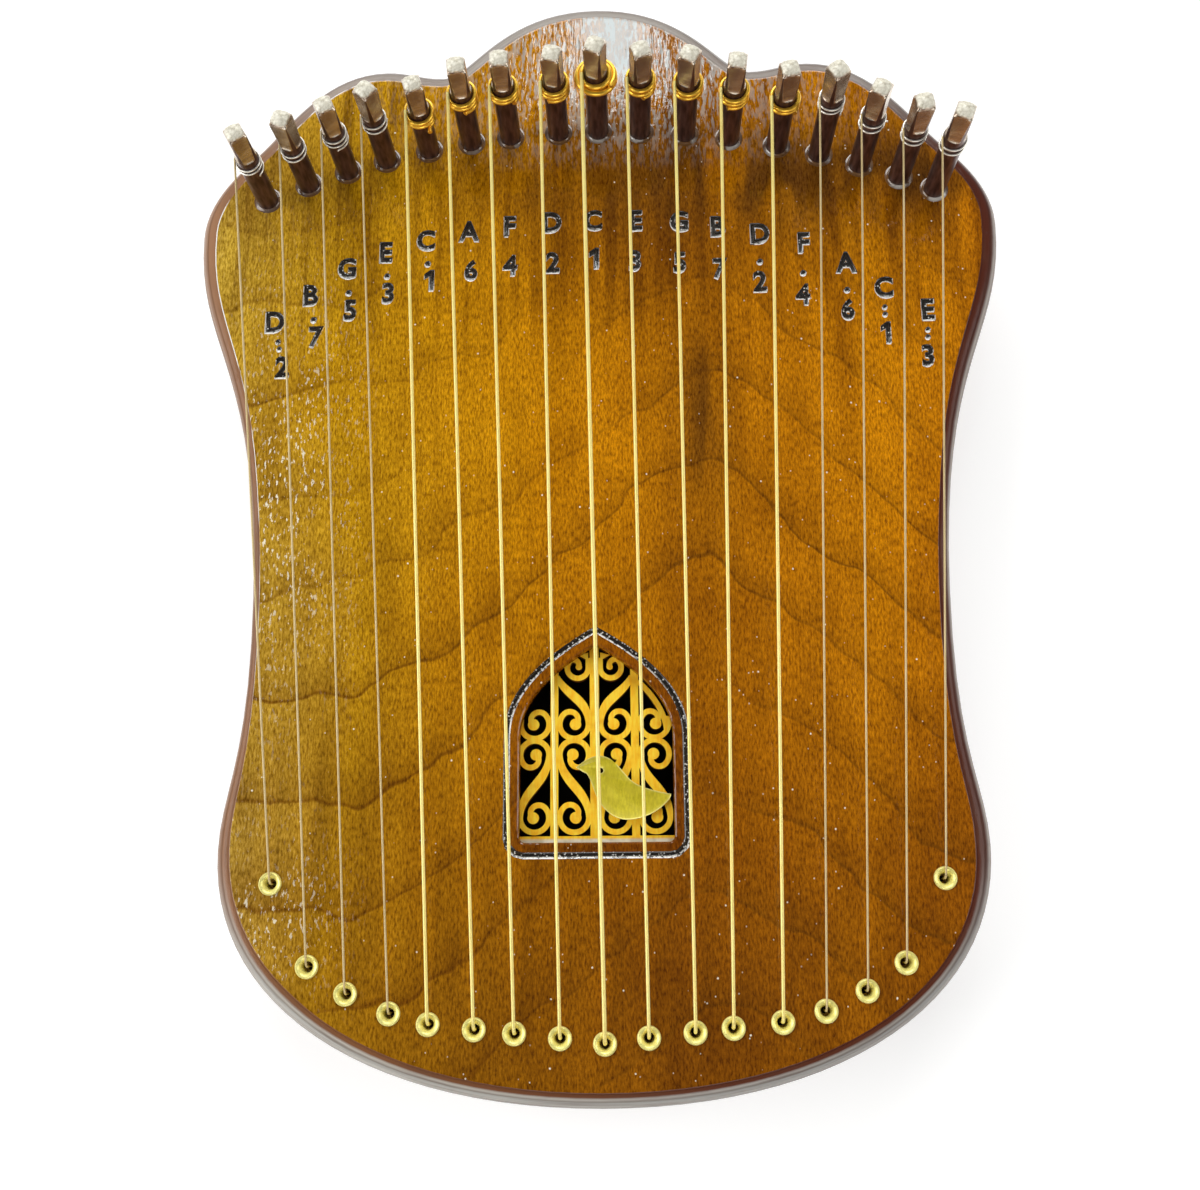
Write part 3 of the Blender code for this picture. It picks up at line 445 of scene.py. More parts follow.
def pin_metal():
    """Dark blued shaft, four filed flats that are near mirrors, and a hammered pale end."""
    made = Nodes("tuning_pin_metal")
    base = PIN_HEIGHT - PIN_HEAD_LENGTH
    height = made.axis("Z")
    aside = made.math("MAXIMUM", *[made.math("ABSOLUTE", made.axis(name)) for name in "XY"])
    plane = made.range(height, base, PIN_HEIGHT, PIN_FLAT_BASE / 2, PIN_TIP_ACROSS / 2)
    above = made.range(height, base, base + 0.0001)
    level = made.range(made.math("SUBTRACT", plane, aside), 0.00007, 0.00003)
    runout = made.range(made.facing("Z"), 0.12, 0.25)
    flat = made.product(made.math("MAXIMUM", level, runout), above)
    end = made.range(height, PIN_HEIGHT - 0.0010, PIN_HEIGHT - 0.0007)
    drawn = made.noise((1500, 1500, 260), detail=3.0)
    filed = made.noise((300, 300, 5200), detail=3.0, rough=0.65)
    beaten = made.noise(1100, detail=2.0, rough=0.6)
    base_tone = made.mix(made.range(drawn, 0.35, 0.65), (0.13, 0.066, 0.052), (0.050, 0.022, 0.018))
    dull = made.range(made.noise((260, 260, 330), shift=(5, 2, 0)), 0.40, 0.60)
    flat_tone = made.mix(made.range(filed, 0.35, 0.65), (0.74, 0.66, 0.54), (0.40, 0.32, 0.24))
    flat_tone = made.mix(made.product(dull, 0.6), flat_tone, (0.22, 0.15, 0.11))
    end_tone = made.mix(made.range(beaten, 0.35, 0.65), (0.92, 0.89, 0.76), (0.58, 0.54, 0.42))
    looks = {"Base Color": (base_tone, flat_tone, end_tone),
             "Metallic": ((0.55,) * 3, (0.85,) * 3, (0.2,) * 3),
             "Roughness": ((0.30,) * 3, (0.26,) * 3, (0.5,) * 3)}
    for socket, (on_shaft, on_flat, on_end) in looks.items():
        made.send(socket, made.mix(end, made.mix(flat, on_shaft, on_flat), on_end))
    relief = made.math("ADD", made.product(filed, flat, 0.12), made.product(beaten, end))
    made.bump(relief, 0.00025)
    return made.owner


def string_metal(name, light, dark, metallic, rough):
    """Wire with fine turns and a faint cloud of tarnish."""
    made = Nodes(name)
    turns = made.noise((1500, 3600, 1500), detail=2.0)
    cloud = made.noise((240, 90, 240), shift=(1, 2, 3), detail=3.0)
    share = made.math("ADD", made.range(cloud, 0.42, 0.72, 0, 0.4), made.range(turns, 0.5, 0.7, 0, 0.3))
    made.colour(made.mix(share, light, dark))
    made.put(Metallic=metallic, Roughness=rough)
    made.bump(turns, 0.00002)
    return made.owner


def collar_varnish():
    """Brown varnish that climbed up round a pin, with a painted highlight on the side towards the tail."""
    made = Nodes("varnish_collar")
    cloud = made.noise(330, detail=2.0)
    # Painted highlight on the side that faces the tail, more at the right.
    front = made.range(made.facing("Y"), -0.05, -0.40)
    share = made.range(made.axis("X"), -0.06, 0.03, 0.08, 0.7)
    painted_collar_highlight = made.product(front, made.range(cloud, 0.46, 0.56), share)
    base = made.mix(made.range(cloud, 0.35, 0.65), (0.16, 0.070, 0.016), (0.07, 0.030, 0.012))
    made.colour(made.mix(painted_collar_highlight, base, (0.62, 0.60, 0.56)))
    made.put(Roughness=0.3, Coat_Weight=1.0, Coat_Roughness=0.05, Coat_IOR=1.5)
    made.bump(cloud, 0.00004)
    return made.owner


def bird_brass():
    """Lacquered olive brass, brighter on its sloping rim."""
    made = Nodes("olive_brass")
    brushed = made.noise((2600, 900, 900), detail=3.0)
    cloud = made.noise(300)
    base = made.mix(made.range(brushed, 0.35, 0.7), (0.72, 0.62, 0.026), (0.54, 0.45, 0.014))
    base = made.mix(made.range(cloud, 0.45, 0.7, 0, 0.5), base, (0.78, 0.66, 0.05))
    made.colour(made.mix(made.range(made.facing("Z"), 0.97, 0.75), base, (0.92, 0.88, 0.40)))
    made.put(Metallic=0.3, Roughness=0.42)
    made.bump(brushed, 0.00003)
    return made.owner


def dark_lining():
    """Near-black colour for the inside of the box."""
    made = Nodes("near_black_inside")
    grain = made.noise((700, 80, 700), detail=3.0)
    made.colour(made.mix(grain, (0.004, 0.003, 0.002), (0.014, 0.010, 0.006)))
    made.put(Roughness=0.8)
    return made.owner


# Shapes

def heading(degrees):
    return Vector((math.cos(math.radians(degrees)), math.sin(math.radians(degrees))))


def bezier_path(nodes, segments):
    """Points along Bezier segments.

    A node is (x, y, heading in, heading out), in degrees. A segment is the share of its chord that its first
    and its last handle take, and its steps."""
    points = []
    for (x0, y0, _, out), (x1, y1, arrive, _), (first, last, steps) in zip(nodes, nodes[1:], segments):
        start = Vector((x0, y0))
        end = Vector((x1, y1))
        chord = (end - start).length
        leave = start + heading(out) * chord * first
        reach = end - heading(arrive) * chord * last
        run = interpolate_bezier(start, leave, reach, end, steps + 1)
        points += run if points == [] else run[1:]
    return points


def half_outline():
    """The right-hand edge from the middle of the tail to the middle of the crest."""
    shoulder = SHOULDER_WIDTH / 2
    nodes = (
        (0, TAIL_Y, 0, 0),
        (BOUT_WIDTH / 2, TAIL_Y + BOUT_HEIGHT, 90, 90),
        (WAIST_WIDTH / 2, TAIL_Y + WAIST_HEIGHT, 90, 90),
        (shoulder, CREST_Y - SHOULDER_DROP, 90, 90),
        (shoulder - SIDE_NOTCH_INSET, CREST_Y - SIDE_NOTCH_DROP, 131, 131),
        (LOBE_X, CREST_Y - LOBE_DROP, 180, 180),
        (CREST_NOTCH_X, CREST_Y - CREST_NOTCH_DROP, 180, 180),
        (0, CREST_Y, 180, 180),
    )
    segments = (
        (0.50, 0.325, 26),
        (0.26, 0.60, 8),
        (0.655, 0.295, 18),
        (0.40, 0.28, 14),
        (0.24, 0.42, 16),
        (0.40, 0.40, 8),
        (0.15, 0.575, 20),
    )
    return bezier_path(nodes, segments)


OUTLINE = half_outline()
LEFT_SHARES = ((-0.1293, 0.66), (-0.110, 0.82), (-0.077, 0.70), (-0.045, 0.48), (0.0, 0.46), (0.045, 0.72),
               (0.075, 0.90), (0.1293, 0.80))
RIGHT_SHARES = ((-0.1293, 0.66), (-0.110, 0.74), (-0.077, 0.80), (-0.045, 0.66), (0.0, 0.60), (0.045, 0.80),
                (0.075, 0.86), (0.1293, 0.80))


def edge_share(y, shares):
    """How wide the rounding of the front edge is at y: 1 is as wide as it is high."""
    for (y0, share), (y1, following) in zip(shares, shares[1:]):
        if y <= y1:
            return share + (following - share) * (y - y0) / (y1 - y0)
    return shares[-1][1]


def inset_half(inset, shares=None):
    """The right-hand edge moved in. shares narrows the move, as the rounding is narrower in places."""
    moved = []
    last = len(OUTLINE) - 1
    for index, point in enumerate(OUTLINE):
        along = (OUTLINE[min(index + 1, last)] - OUTLINE[max(index - 1, 0)]).normalized()
        if index in (0, last):
            along = Vector((1, 0)) if index == 0 else Vector((-1, 0))
        reach = inset * edge_share(point.y, shares) if shares else inset
        moved.append(point + Vector((-along.y, along.x)) * reach)
    return moved


def whole(right, left=None):
    """A closed outline from its right-hand edge. left is the left-hand edge, mirrored, if it differs."""
    return right + [Vector((-point.x, point.y)) for point in reversed((left or right)[1:-1])]


def edge_profile(low, high):
    """(inset, z) of the outside from low to high: rounded below, and above up to a ledge under the face."""
    steps = 10
    turns = [math.pi / 2 * step / steps for step in range(steps + 1)]
    profile = [(BACK_RADIUS * (1 - math.sin(a)), BACK_RADIUS * (1 - math.cos(a))) for a in turns]
    profile += [(FRONT_RADIUS * (1 - math.cos(a)), LEDGE_Z - FRONT_RADIUS * (1 - math.sin(a))) for a in turns]
    slack = 1e-9
    kept = [(inset, z) for inset, z in profile if low - slack <= z <= high + slack]
    for level, end in ((low, 0), (high, len(kept) + 1)):
        below = max((pair for pair in profile if pair[1] <= level + slack), key=lambda pair: pair[1])
        higher = [pair for pair in profile if pair[1] >= level - slack]
        above = min(higher, key=lambda pair: pair[1], default=below)
        if above[1] - below[1] > slack:
            share = (level - below[1]) / (above[1] - below[1])
            kept.insert(end, (below[0] + (above[0] - below[0]) * share, level))
    return kept


def skin_rings(bm, rings):
    """Faces from each ring of vertices to the next."""
    for ring, other in zip(rings, rings[1:]):
        for side in range(len(ring)):
            follow = (side + 1) % len(ring)
            bm.faces.new((ring[side], ring[follow], other[follow], other[side]))


def stack(bm, loops):
    """A solid through loops of points, closed at both ends."""
    rings = [[bm.verts.new(point) for point in loop] for loop in loops]
    skin_rings(bm, rings)
    bm.faces.new(rings[0])
    bm.faces.new(rings[-1])


def prism(bm, outline, low, high):
    stack(bm, [[(point.x, point.y, z) for point in outline] for z in (low, high)])


def circle(x, y, radius, sides):
    angles = [2 * math.pi * side / sides for side in range(sides)]
    return [Vector((x + radius * math.cos(a), y + radius * math.sin(a))) for a in angles]


def lathe(bm, profile, sides, x=0.0, y=0.0, z=0.0):
    """A ring whose closed cross-section is profile, a list of (radius, height)."""
    rings = []
    for reach, rise in profile:
        rings.append([bm.verts.new((p.x, p.y, z + rise)) for p in circle(x, y, reach, sides)])
    skin_rings(bm, rings + rings[:1])


def to_mesh(name, bm):
    bmesh.ops.recalc_face_normals(bm, faces=bm.faces)
    mesh = bpy.data.meshes.new(name)
    bm.to_mesh(mesh)
    bm.free()
    return mesh


def soften(mesh, degrees=32):
    mesh.shade_smooth()
    mesh.set_sharp_from_angle(angle=math.radians(degrees))


def new_object(name, mesh, *materials):
    for material in materials:
        mesh.materials.append(material)
    obj = bpy.data.objects.new(name, mesh)
    bpy.context.scene.collection.objects.link(obj)
    return obj


def solid(name, bm, *materials):
    """A new object of the faces in bm."""
    return new_object(name, to_mesh(name, bm), *materials)


def dress(obj, node, body="body"):
    """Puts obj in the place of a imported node, riding on a body."""
    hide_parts(node)
    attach(obj, body)


def box_corners(points):
    """Lowest and highest corner of the box round some points."""
    return [Vector([pick(point[axis] for point in points) for axis in range(3)]) for pick in (min, max)]


def cut(obj, *cutters):
    """Cuts solids out of obj for good. The faces that they leave keep the cutters' materials."""
    for cutter in cutters:
        boolean = obj.modifiers.new("cut", "BOOLEAN")
        boolean.operation = "DIFFERENCE"
        boolean.solver = "EXACT"
        boolean.object = cutter
        boolean.material_mode = "TRANSFER"
        boolean.use_self = True
    graph = bpy.context.evaluated_depsgraph_get()
    made = bpy.data.meshes.new_from_object(obj.evaluated_get(graph))
    obj.modifiers.clear()
    obj.data = made
    for cutter in cutters:
        bpy.data.objects.remove(cutter, do_unlink=True)


def tube(name, path, radii, sides):
    """A closed tube along path, whose rings turn no more than the path does."""
    bm = bmesh.new()
    rings = []
    normal = None
    last = len(path) - 1
    for index, point in enumerate(path):
        along = (path[min(index + 1, last)] - path[max(index - 1, 0)]).normalized()
        if normal is None:
            guess = Vector((1, 0, 0)) if abs(along.x) < 0.8 else Vector((0, 0, 1))
            normal = (guess - along * guess.dot(along)).normalized()
        normal = (normal - along * normal.dot(along)).normalized()
        other = along.cross(normal)
        ring = []
        for side in range(sides):
            angle = 2 * math.pi * side / sides
            out = (normal * math.cos(angle) + other * math.sin(angle)) * radii[index]
            ring.append(bm.verts.new(point + out))
        rings.append(ring)
    skin_rings(bm, rings)
    bm.faces.new(rings[0])
    bm.faces.new(rings[-1])
    mesh = to_mesh(name, bm)
    soften(mesh, 50)
    return mesh


def middle_and_top(name):
    """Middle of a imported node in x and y, and its highest z."""
    low, high = box_corners([vertex.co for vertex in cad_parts[name].data.vertices])
    return (low.x + high.x) / 2, (low.y + high.y) / 2, high.z


NUMBERED = [f"{number:02d}" for number in range(1, 18)]
PINS = [middle_and_top("tuning_pin_" + number) for number in NUMBERED]
EYELETS = [middle_and_top("eyelet_" + number)[:2] for number in NUMBERED]


def window_outline(margin, middle=WINDOW_X):
    """The window's edge, moved out by margin, round middle."""
    half = WINDOW_WIDTH / 2
    inset = half - WINDOW_CORNER
    above = SILL_Y + WINDOW_CORNER
    nodes = ((half, SILL_Y + WINDOW_SIDE, 90, 90), (0, APEX_Y, 149, 149))
    arch = bezier_path(nodes, ((0.35, 0.33, 20),))
    turn = [math.radians(angle) for angle in (-90, -60, -30, 0)]
    bend = [Vector((inset + WINDOW_CORNER * math.cos(a), above + WINDOW_CORNER * math.sin(a))) for a in turn]
    right = bend + arch
    points = right + [Vector((-point.x, point.y)) for point in reversed(right[:-1])]
    moved = []
    for index, point in enumerate(points):
        before = (point - points[index - 1]).normalized()
        after = (points[(index + 1) % len(points)] - point).normalized()
        outward = Vector((before.y + after.y, -before.x - after.x)).normalized()
        lean = max(outward.dot(Vector((before.y, -before.x))), 0.5)
        moved.append(Vector((middle, 0)) + point + outward * margin / lean)
    return moved


# The body

FACE_WOOD = varnished_wood("varnished_face_wood", edge=True)
FRAME_WOOD = varnished_wood("varnished_window_wood", tint=(0.62, 0.50, 0.55))
BACK_WOOD = varnished_wood("varnished_back_wood", tint=(0.85, 0.80, 0.80), dust_and_glare=False)
GROOVE = black_groove("burnt_letters", 0.16)
GLINT = painted_stroke_highlight()
WINDOW_GROOVE = black_groove("burnt_line", 0.72)
LINING = dark_lining()

LETTERS = "DBGECAFDCEGBDFACE"
NUMBERS = "27531642135724613"
DOTS = (2, 1, 1, 1, 1, 0, 0, 0, 0, 0, 0, 0, 1, 1, 1, 2, 2)
# Middles of the letters and numbers on the face, in millimetres
LETTER_SPOTS = (
    (-75.3, 44.1), (-67.2, 50.8), (-58.9, 57.6), (-49.8, 61.6), (-40.4, 64.5), (-30.2, 66.7), (-20.5, 67.8),
    (-10.5, 68.6), (-0.8, 68.9), (9.4, 68.7), (19.6, 68.2), (28.7, 66.7), (38.5, 64.6), (48.7, 62.0),
    (58.3, 56.7), (66.7, 50.1), (76.5, 44.3))
NUMBER_SPOTS = (
    (-73.0, 32.7), (-65.5, 40.1), (-57.8, 46.8), (-49.0, 51.0), (-39.4, 54.1), (-29.6, 56.5), (-20.4, 57.6),
    (-10.3, 58.1), (-0.6, 59.0), (9.0, 58.2), (19.5, 57.5), (28.9, 55.7), (38.1, 52.2), (47.9, 48.7),
    (58.1, 44.7), (66.5, 38.7), (75.7, 32.8))
# Engraving. GLYPH_HEIGHT and GLINT_SHIFT are in millimetres, and the other lengths in metres
GLYPH_HEIGHT = 5.4
GLYPH_NARROW = 0.90
FONT_CAPITAL = 0.72
GLYPH_WALL = 0.00006
GLYPH_BOLDER = 0.00012
GLINT_SHIFT = (-0.12, -0.34)
DOT_SHARES = ((), (0.59,), (0.44, 0.60))
DOT_RADII = (0, 0.00074, 0.00062)
# (height as a share of the depth, share of the radius) of an octave dot
DOT_SHAPE = ((-1, 0.35), (-0.75, 0.75), (-0.3, 0.95), (0, 1.0), (1, 1.0))
GROOVE_DEPTH = 0.00032
GLINT_DEPTH = 0.6 * GROOVE_DEPTH
LINE_OFFSET = 0.0027
LINE_WIDTH = 0.0014
# (height, half width) of the line round the window, the width as a share of LINE_WIDTH
LINE_PROFILE = ((-0.00030, 0.12), (-0.00024, 0.32), (-0.00012, 0.46), (0.0, 0.5), (0.0002, 0.5))
# (inset past the rounding, height from the face) of the step up from the ledge to the face
FACE_STEP = ((0.00010, -FRONT_LEDGE), (0.00016, -0.00014), (0.00034, -0.00004), (0.00060, 0), (0.00120, 0))
# (height from the face, how far it is moved out) of the window's wall and rounded edge
WINDOW_WALL = ((-0.006, 0.0), (-0.0005, 0.0), (-0.0002, 0.0001), (0.0, 0.0004), (0.002, 0.0006))
# (height, radius) of a ball end's hole in the back
BALL_HOLE = ((-0.002, 0.0025), (0.0, 0.0022), (0.0004, 0.0019), (0.005, 0.0019))
PIN_HOLE = PIN_DIAMETER / 2 + 0.0001
EYELET_HOLE = 0.00175


def figure_one():
    """A figure 1 with a flag, as a filled curve."""
    curve = bpy.data.curves.new("glyph", "CURVE")
    curve.dimensions = "2D"
    curve.fill_mode = "BOTH"
    corners = ((0.05, 0), (0.22, 0), (0.22, 1), (0.09, 1), (-0.20, 0.80), (-0.20, 0.66), (0.05, 0.80))
    spline = curve.splines.new("POLY")
    spline.points.add(len(corners) - 1)
    for point, (x, y) in zip(spline.points, corners):
        point.co = (x * GLYPH_HEIGHT * MM, y * GLYPH_HEIGHT * MM, 0, 1)
    spline.use_cyclic_u = True
    return curve


def glyph(character, x, y, depth):
    """A solid letter across the face: widest at the surface, with a rounded bottom."""
    if character == "1":
        curve = figure_one()
    else:
        curve = bpy.data.curves.new("glyph", "FONT")
        curve.body = character
        curve.size = GLYPH_HEIGHT * MM / FONT_CAPITAL
    curve.extrude = GLYPH_WALL
    curve.bevel_depth = depth - GLYPH_WALL
    curve.bevel_resolution = 2
    curve.offset = GLYPH_BOLDER
    curve.resolution_u = 4
    text = bpy.data.objects.new("glyph", curve)
    bpy.context.scene.collection.objects.link(text)
    bpy.context.view_layer.update()
    mesh = bpy.data.meshes.new_from_object(text.evaluated_get(bpy.context.evaluated_depsgraph_get()))
    bpy.data.objects.remove(text, do_unlink=True)
    low, high = box_corners([vertex.co for vertex in mesh.vertices])
    size = GLYPH_HEIGHT * MM / (high.y - low.y)
    mesh.transform(Matrix.Translation(-(low + high) / 2))
    mesh.transform(Matrix.Diagonal((size * GLYPH_NARROW, size, 1.0, 1.0)))
    mesh.transform(Matrix.Translation((x * MM, y * MM, FRONT_Z)))
    return mesh


def marks(depth, shift, material):
    """One cutter of all the letters, numbers and dots, shifted by some millimetres."""
    bm = bmesh.new()
    for index in range(17):
        pairs = ((LETTERS[index], LETTER_SPOTS[index]), (NUMBERS[index], NUMBER_SPOTS[index]))
        for character, (x, y) in pairs:
            mesh = glyph(character, x + shift[0], y + shift[1], depth)
            bm.from_mesh(mesh)
            bpy.data.meshes.remove(mesh)
        (x0, y0), (x1, y1) = LETTER_SPOTS[index], NUMBER_SPOTS[index]
        size = DOT_RADII[DOTS[index]]
        for share in DOT_SHARES[DOTS[index]]:
            x = (x0 + (x1 - x0) * share + shift[0]) * MM
            y = (y0 + (y1 - y0) * share + shift[1]) * MM
            loops = []
            for deep, wide in DOT_SHAPE:
                loops.append([(p.x, p.y, FRONT_Z + deep * depth) for p in circle(x, y, size * wide, 16)])
            stack(bm, loops)
    bmesh.ops.remove_doubles(bm, verts=bm.verts, dist=1e-7)
    return solid("marks_cutter", bm, material)


def window_line():
    """The engraved line that frames the window, as a cutter with a rounded bottom."""
    bm = bmesh.new()
    loops = [(z, LINE_OFFSET + LINE_WIDTH * half) for z, half in LINE_PROFILE]
    loops += [(z, LINE_OFFSET - LINE_WIDTH * half) for z, half in reversed(LINE_PROFILE)]
    rings = [[bm.verts.new((p.x, p.y, FRONT_Z + z)) for p in window_outline(out)] for z, out in loops]
    skin_rings(bm, rings + rings[:1])
    return solid("line_cutter", bm, WINDOW_GROOVE)


def make_soundboard():
    bm = bmesh.new()
    profile = edge_profile(BOARD_Z, LEDGE_Z)
    profile += [(FRONT_RADIUS + inset, FRONT_Z + rise) for inset, rise in FACE_STEP]
    loops = []
    for inset, z in profile:
        edge = whole(inset_half(inset, RIGHT_SHARES), inset_half(inset, LEFT_SHARES))
        loops.append([(p.x, p.y, z) for p in edge])
    stack(bm, loops)
    board = solid("soundboard_wood", bm, FACE_WOOD)
    holes = bmesh.new()
    for x, y, _ in PINS:
        prism(holes, circle(x, y, PIN_HOLE, 28), BOARD_Z - OVERSHOOT, FRONT_Z + OVERSHOOT)
    for x, y in EYELETS:
        prism(holes, circle(x, y, EYELET_HOLE, 20), BOARD_Z - OVERSHOOT, FRONT_Z + OVERSHOOT)
    stack(holes, [[(p.x, p.y, FRONT_Z + z) for p in window_outline(out)] for z, out in WINDOW_WALL])
    cut(board, solid("hole_cutter", holes, FRAME_WOOD))
    # The shallower shifted cut leaves the painted highlight along the lower edge of each stroke.
    cut(board, window_line(), marks(GLINT_DEPTH, GLINT_SHIFT, GLINT))
    cut(board, marks(GROOVE_DEPTH, (0, 0), GROOVE))
    colour_window_frame(board.data)
    soften(board.data)
    dress(board, "soundboard")


def colour_window_frame(mesh):
    """Gives the strip between the window and its line the redder wood."""
    frame_slot = [material.name for material in mesh.materials].index(FRAME_WOOD.name)
    reach = WINDOW_WIDTH / 2 + LINE_OFFSET
    for polygon in mesh.polygons:
        corners = [mesh.vertices[index].co for index in polygon.vertices]
        level = all(abs(corner.z - FRONT_Z) < TINY for corner in corners)
        beside = all(abs(corner.x - WINDOW_X) < reach for corner in corners)
        inside = beside and all(SILL_Y - LINE_OFFSET < corner.y < APEX_Y + LINE_OFFSET for corner in corners)
        if level and inside:
            polygon.material_index = frame_slot


def make_side(name, sign):
    low = BACK_THICKNESS + GLUE_LINE
    high = BOARD_Z - GLUE_LINE
    shares = RIGHT_SHARES if sign > 0 else LEFT_SHARES
    columns = []
    for inset, z in edge_profile(low, high):
        columns.append((inset_half(inset, shares if z > BODY_DEPTH / 2 else None), z))
    columns += [(inset_half(SIDE_THICKNESS), z) for z in (high, low)]
    stations = []
    for index in range(len(OUTLINE)):
        stations.append([(sign * max(half[index].x, GLUE_LINE), half[index].y, z) for half, z in columns])
    bm = bmesh.new()
    stack(bm, stations)
    side = solid(name + "_wood", bm, FACE_WOOD)
    soften(side.data)
    dress(side, name)


def make_back():
    bm = bmesh.new()
    profile = edge_profile(0, BACK_THICKNESS)
    stack(bm, [[(p.x, p.y, z) for p in whole(inset_half(inset))] for inset, z in profile])
    back = solid("back_wood", bm, BACK_WOOD, LINING)
    holes = bmesh.new()
    for x, y in EYELETS:
        stack(holes, [[(p.x, p.y, z) for p in circle(x, y, radius, 24)] for z, radius in BALL_HOLE])
    cut(back, solid("ball_cutter", holes, BACK_WOOD))
    for polygon in back.data.polygons:
        if polygon.normal.z > 0.9 and polygon.center.z > BACK_THICKNESS - 0.0005:
            polygon.material_index = 1
    soften(back.data)
    dress(back, "back_plate")


# Pins, eyelets and strings

PIN_CHAMFER = 0.001
PIN_BEVEL = 0.0016
PIN_BEVEL_SLOPE = 0.8
PIN_TIP_WAVE = 0.15
# (drop below the tip, inset) of a pin's rounded tip, as shares of PIN_TIP_ROUND
PIN_TIP_SHAPE = ((0.62, 0.05), (0.34, 0.17), (0.13, 0.36), (0.03, 0.58), (0.0, 0.80))
COLLAR_GAP = 0.00004
# (distance from the gap round a pin, height from the face) of a varnish collar's cross-section
COLLAR_SHAPE = ((0, -0.0005), (0, 0.00042), (0.0001, 0.00040), (0.00022, 0.00026), (0.00042, 0.00012),
                (0.0008, 0.00002), (0.0008, -0.0005))
EYELET_BORE = 0.00105
EYELET_BARREL = 0.00165
EYELET_LOW = 0.0003 - TOP_THICKNESS


def pin_reach(angle, z):
    """Distance of a pin's side from its axis: a spreading cone with four flats that run out in a curve."""
    rise = max(z - PIN_HEIGHT + PIN_HEAD_LENGTH, 0)
    share = rise / PIN_HEAD_LENGTH
    radius = PIN_DIAMETER / 2
    cone = radius + (PIN_HEAD_CORNERS / 2 - radius) * share
    flat = PIN_FLAT_BASE / 2 + (PIN_TIP_ACROSS - PIN_FLAT_BASE) / 2 * share
    if rise < PIN_RUNOUT:
        flat = radius - (radius - flat) * math.sqrt(1 - (1 - rise / PIN_RUNOUT) ** 2)
    aside = (angle + math.pi / 4) % (math.pi / 2) - math.pi / 4
    return min(cone, flat / math.cos(aside))


def pin_mesh():
    """A pin with a square head. Its origin is on its axis, PIN_HEIGHT below its tip."""
    sides = 96
    head = PIN_HEIGHT - PIN_HEAD_LENGTH
    corner = PIN_TIP_ROUND
    flats = PIN_HEAD_LENGTH - corner - PIN_RUNOUT
    levels = [(-PIN_DEPTH, PIN_CHAMFER), (PIN_CHAMFER - PIN_DEPTH, 0.0), (0.0, 0.0), (head - 0.0002, 0.0)]
    levels += [(head + PIN_RUNOUT * step / 8, 0.0) for step in range(8)]
    levels += [(head + PIN_RUNOUT + flats * step / 18, 0.0) for step in range(19)]
    levels += [(PIN_HEIGHT - corner * down, corner * inset) for down, inset in PIN_TIP_SHAPE]
    bm = bmesh.new()
    angles = [2 * math.pi * side / sides for side in range(sides)]
    loops = []
    for z, inset in levels:
        limit = PIN_HEAD_CORNERS / 2 - PIN_BEVEL_SLOPE * max(z - PIN_HEIGHT + PIN_BEVEL, 0)
        waves = [1 + PIN_TIP_WAVE * math.sin(3 * a + 1) for a in angles]
        reaches = [min(pin_reach(a, z), limit) - inset * wave for a, wave in zip(angles, waves)]
        loops.append([(reach * math.cos(a), reach * math.sin(a), z) for a, reach in zip(angles, reaches)])
    stack(bm, loops)
    mesh = to_mesh("tuning_pin", bm)
    soften(mesh, 30)
    return mesh


def make_pins():
    finish = pin_metal()
    mesh = pin_mesh()
    for number, turn, (x, y, top) in zip(NUMBERED, PIN_TURNS, PINS):
        pin = new_object(f"pin_{number}_metal", mesh.copy(), finish)
        pin.rotation_euler.z = math.radians(turn)
        pin.location = (x, y, top - PIN_HEIGHT)
        dress(pin, f"tuning_pin_{number}", f"pin_{number}")


def make_collars():
    """The rim of varnish that climbs up round each pin."""
    bm = bmesh.new()
    profile = [(PIN_DIAMETER / 2 + COLLAR_GAP + out, rise) for out, rise in COLLAR_SHAPE]
    for x, y, _ in PINS:
        lathe(bm, profile, 32, x, y, FRONT_Z)
    collars = solid("varnish_collars", bm, collar_varnish())
    soften(collars.data, 60)
    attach(collars, "body")


def make_eyelets():
    brass = eyelet_brass()
    bore = EYELET_BORE
    flange = EYELET_FLANGE / 2
    profile = [(bore, EYELET_LOW), (bore, -0.0009), (bore + 0.00018, -0.0002), (bore + 0.00048, 0.00034),
               (flange - 0.00058, 0.00060), (flange - 0.00032, 0.00066), (flange - 0.00013, 0.00054),
               (flange - 0.00003, 0.00032), (flange, 0.00012), (flange - 0.00005, 0.00002),
               (EYELET_BARREL, 0.00002), (EYELET_BARREL, EYELET_LOW)]
    bm = bmesh.new()
    lathe(bm, profile, 40)
    mesh = to_mesh("eyelet", bm)
    soften(mesh, 45)
    for number, (x, y) in zip(NUMBERED, EYELETS):
        eyelet = new_object(f"eyelet_{number}_brass", mesh.copy(), brass)
        eyelet.location = (x, y, FRONT_Z)
        dress(eyelet, f"eyelet_{number}")


# Turns of each coil, its rise in each turn in millimetres, and the long loose ends in metres, by index
COIL_TURNS = (2.6, 2.3, 2.7, 2.4, 2.6, 2.7, 2.6, 2.8, 3.6, 2.7, 2.6, 2.8, 2.6, 2.6, 2.4, 2.4, 2.5)
COIL_PITCHES = (1.4, 1.6, 1.3, 1.5, 1.15, 1.15, 1.2, 1.15, 1.3, 1.2, 1.15, 1.15, 1.2, 1.4, 1.7, 1.4, 1.6)
TAILS = {4: 0.0018, 14: 0.0016}
SHORT_TAIL = 0.0005
TAIL_SPREAD = 0.15
THICKEST = 8
THICKEST_SWELL = 1.2
BRONZE_REACH = 4
EYELET_CROWN = 0.00072
BALL_RADIUS = 0.0016
COIL_BELOW_HEAD = 0.0010
COIL_GAP = 0.00003
COIL_WAVE = 0.10
COIL_WAVE_RATE = 3.1
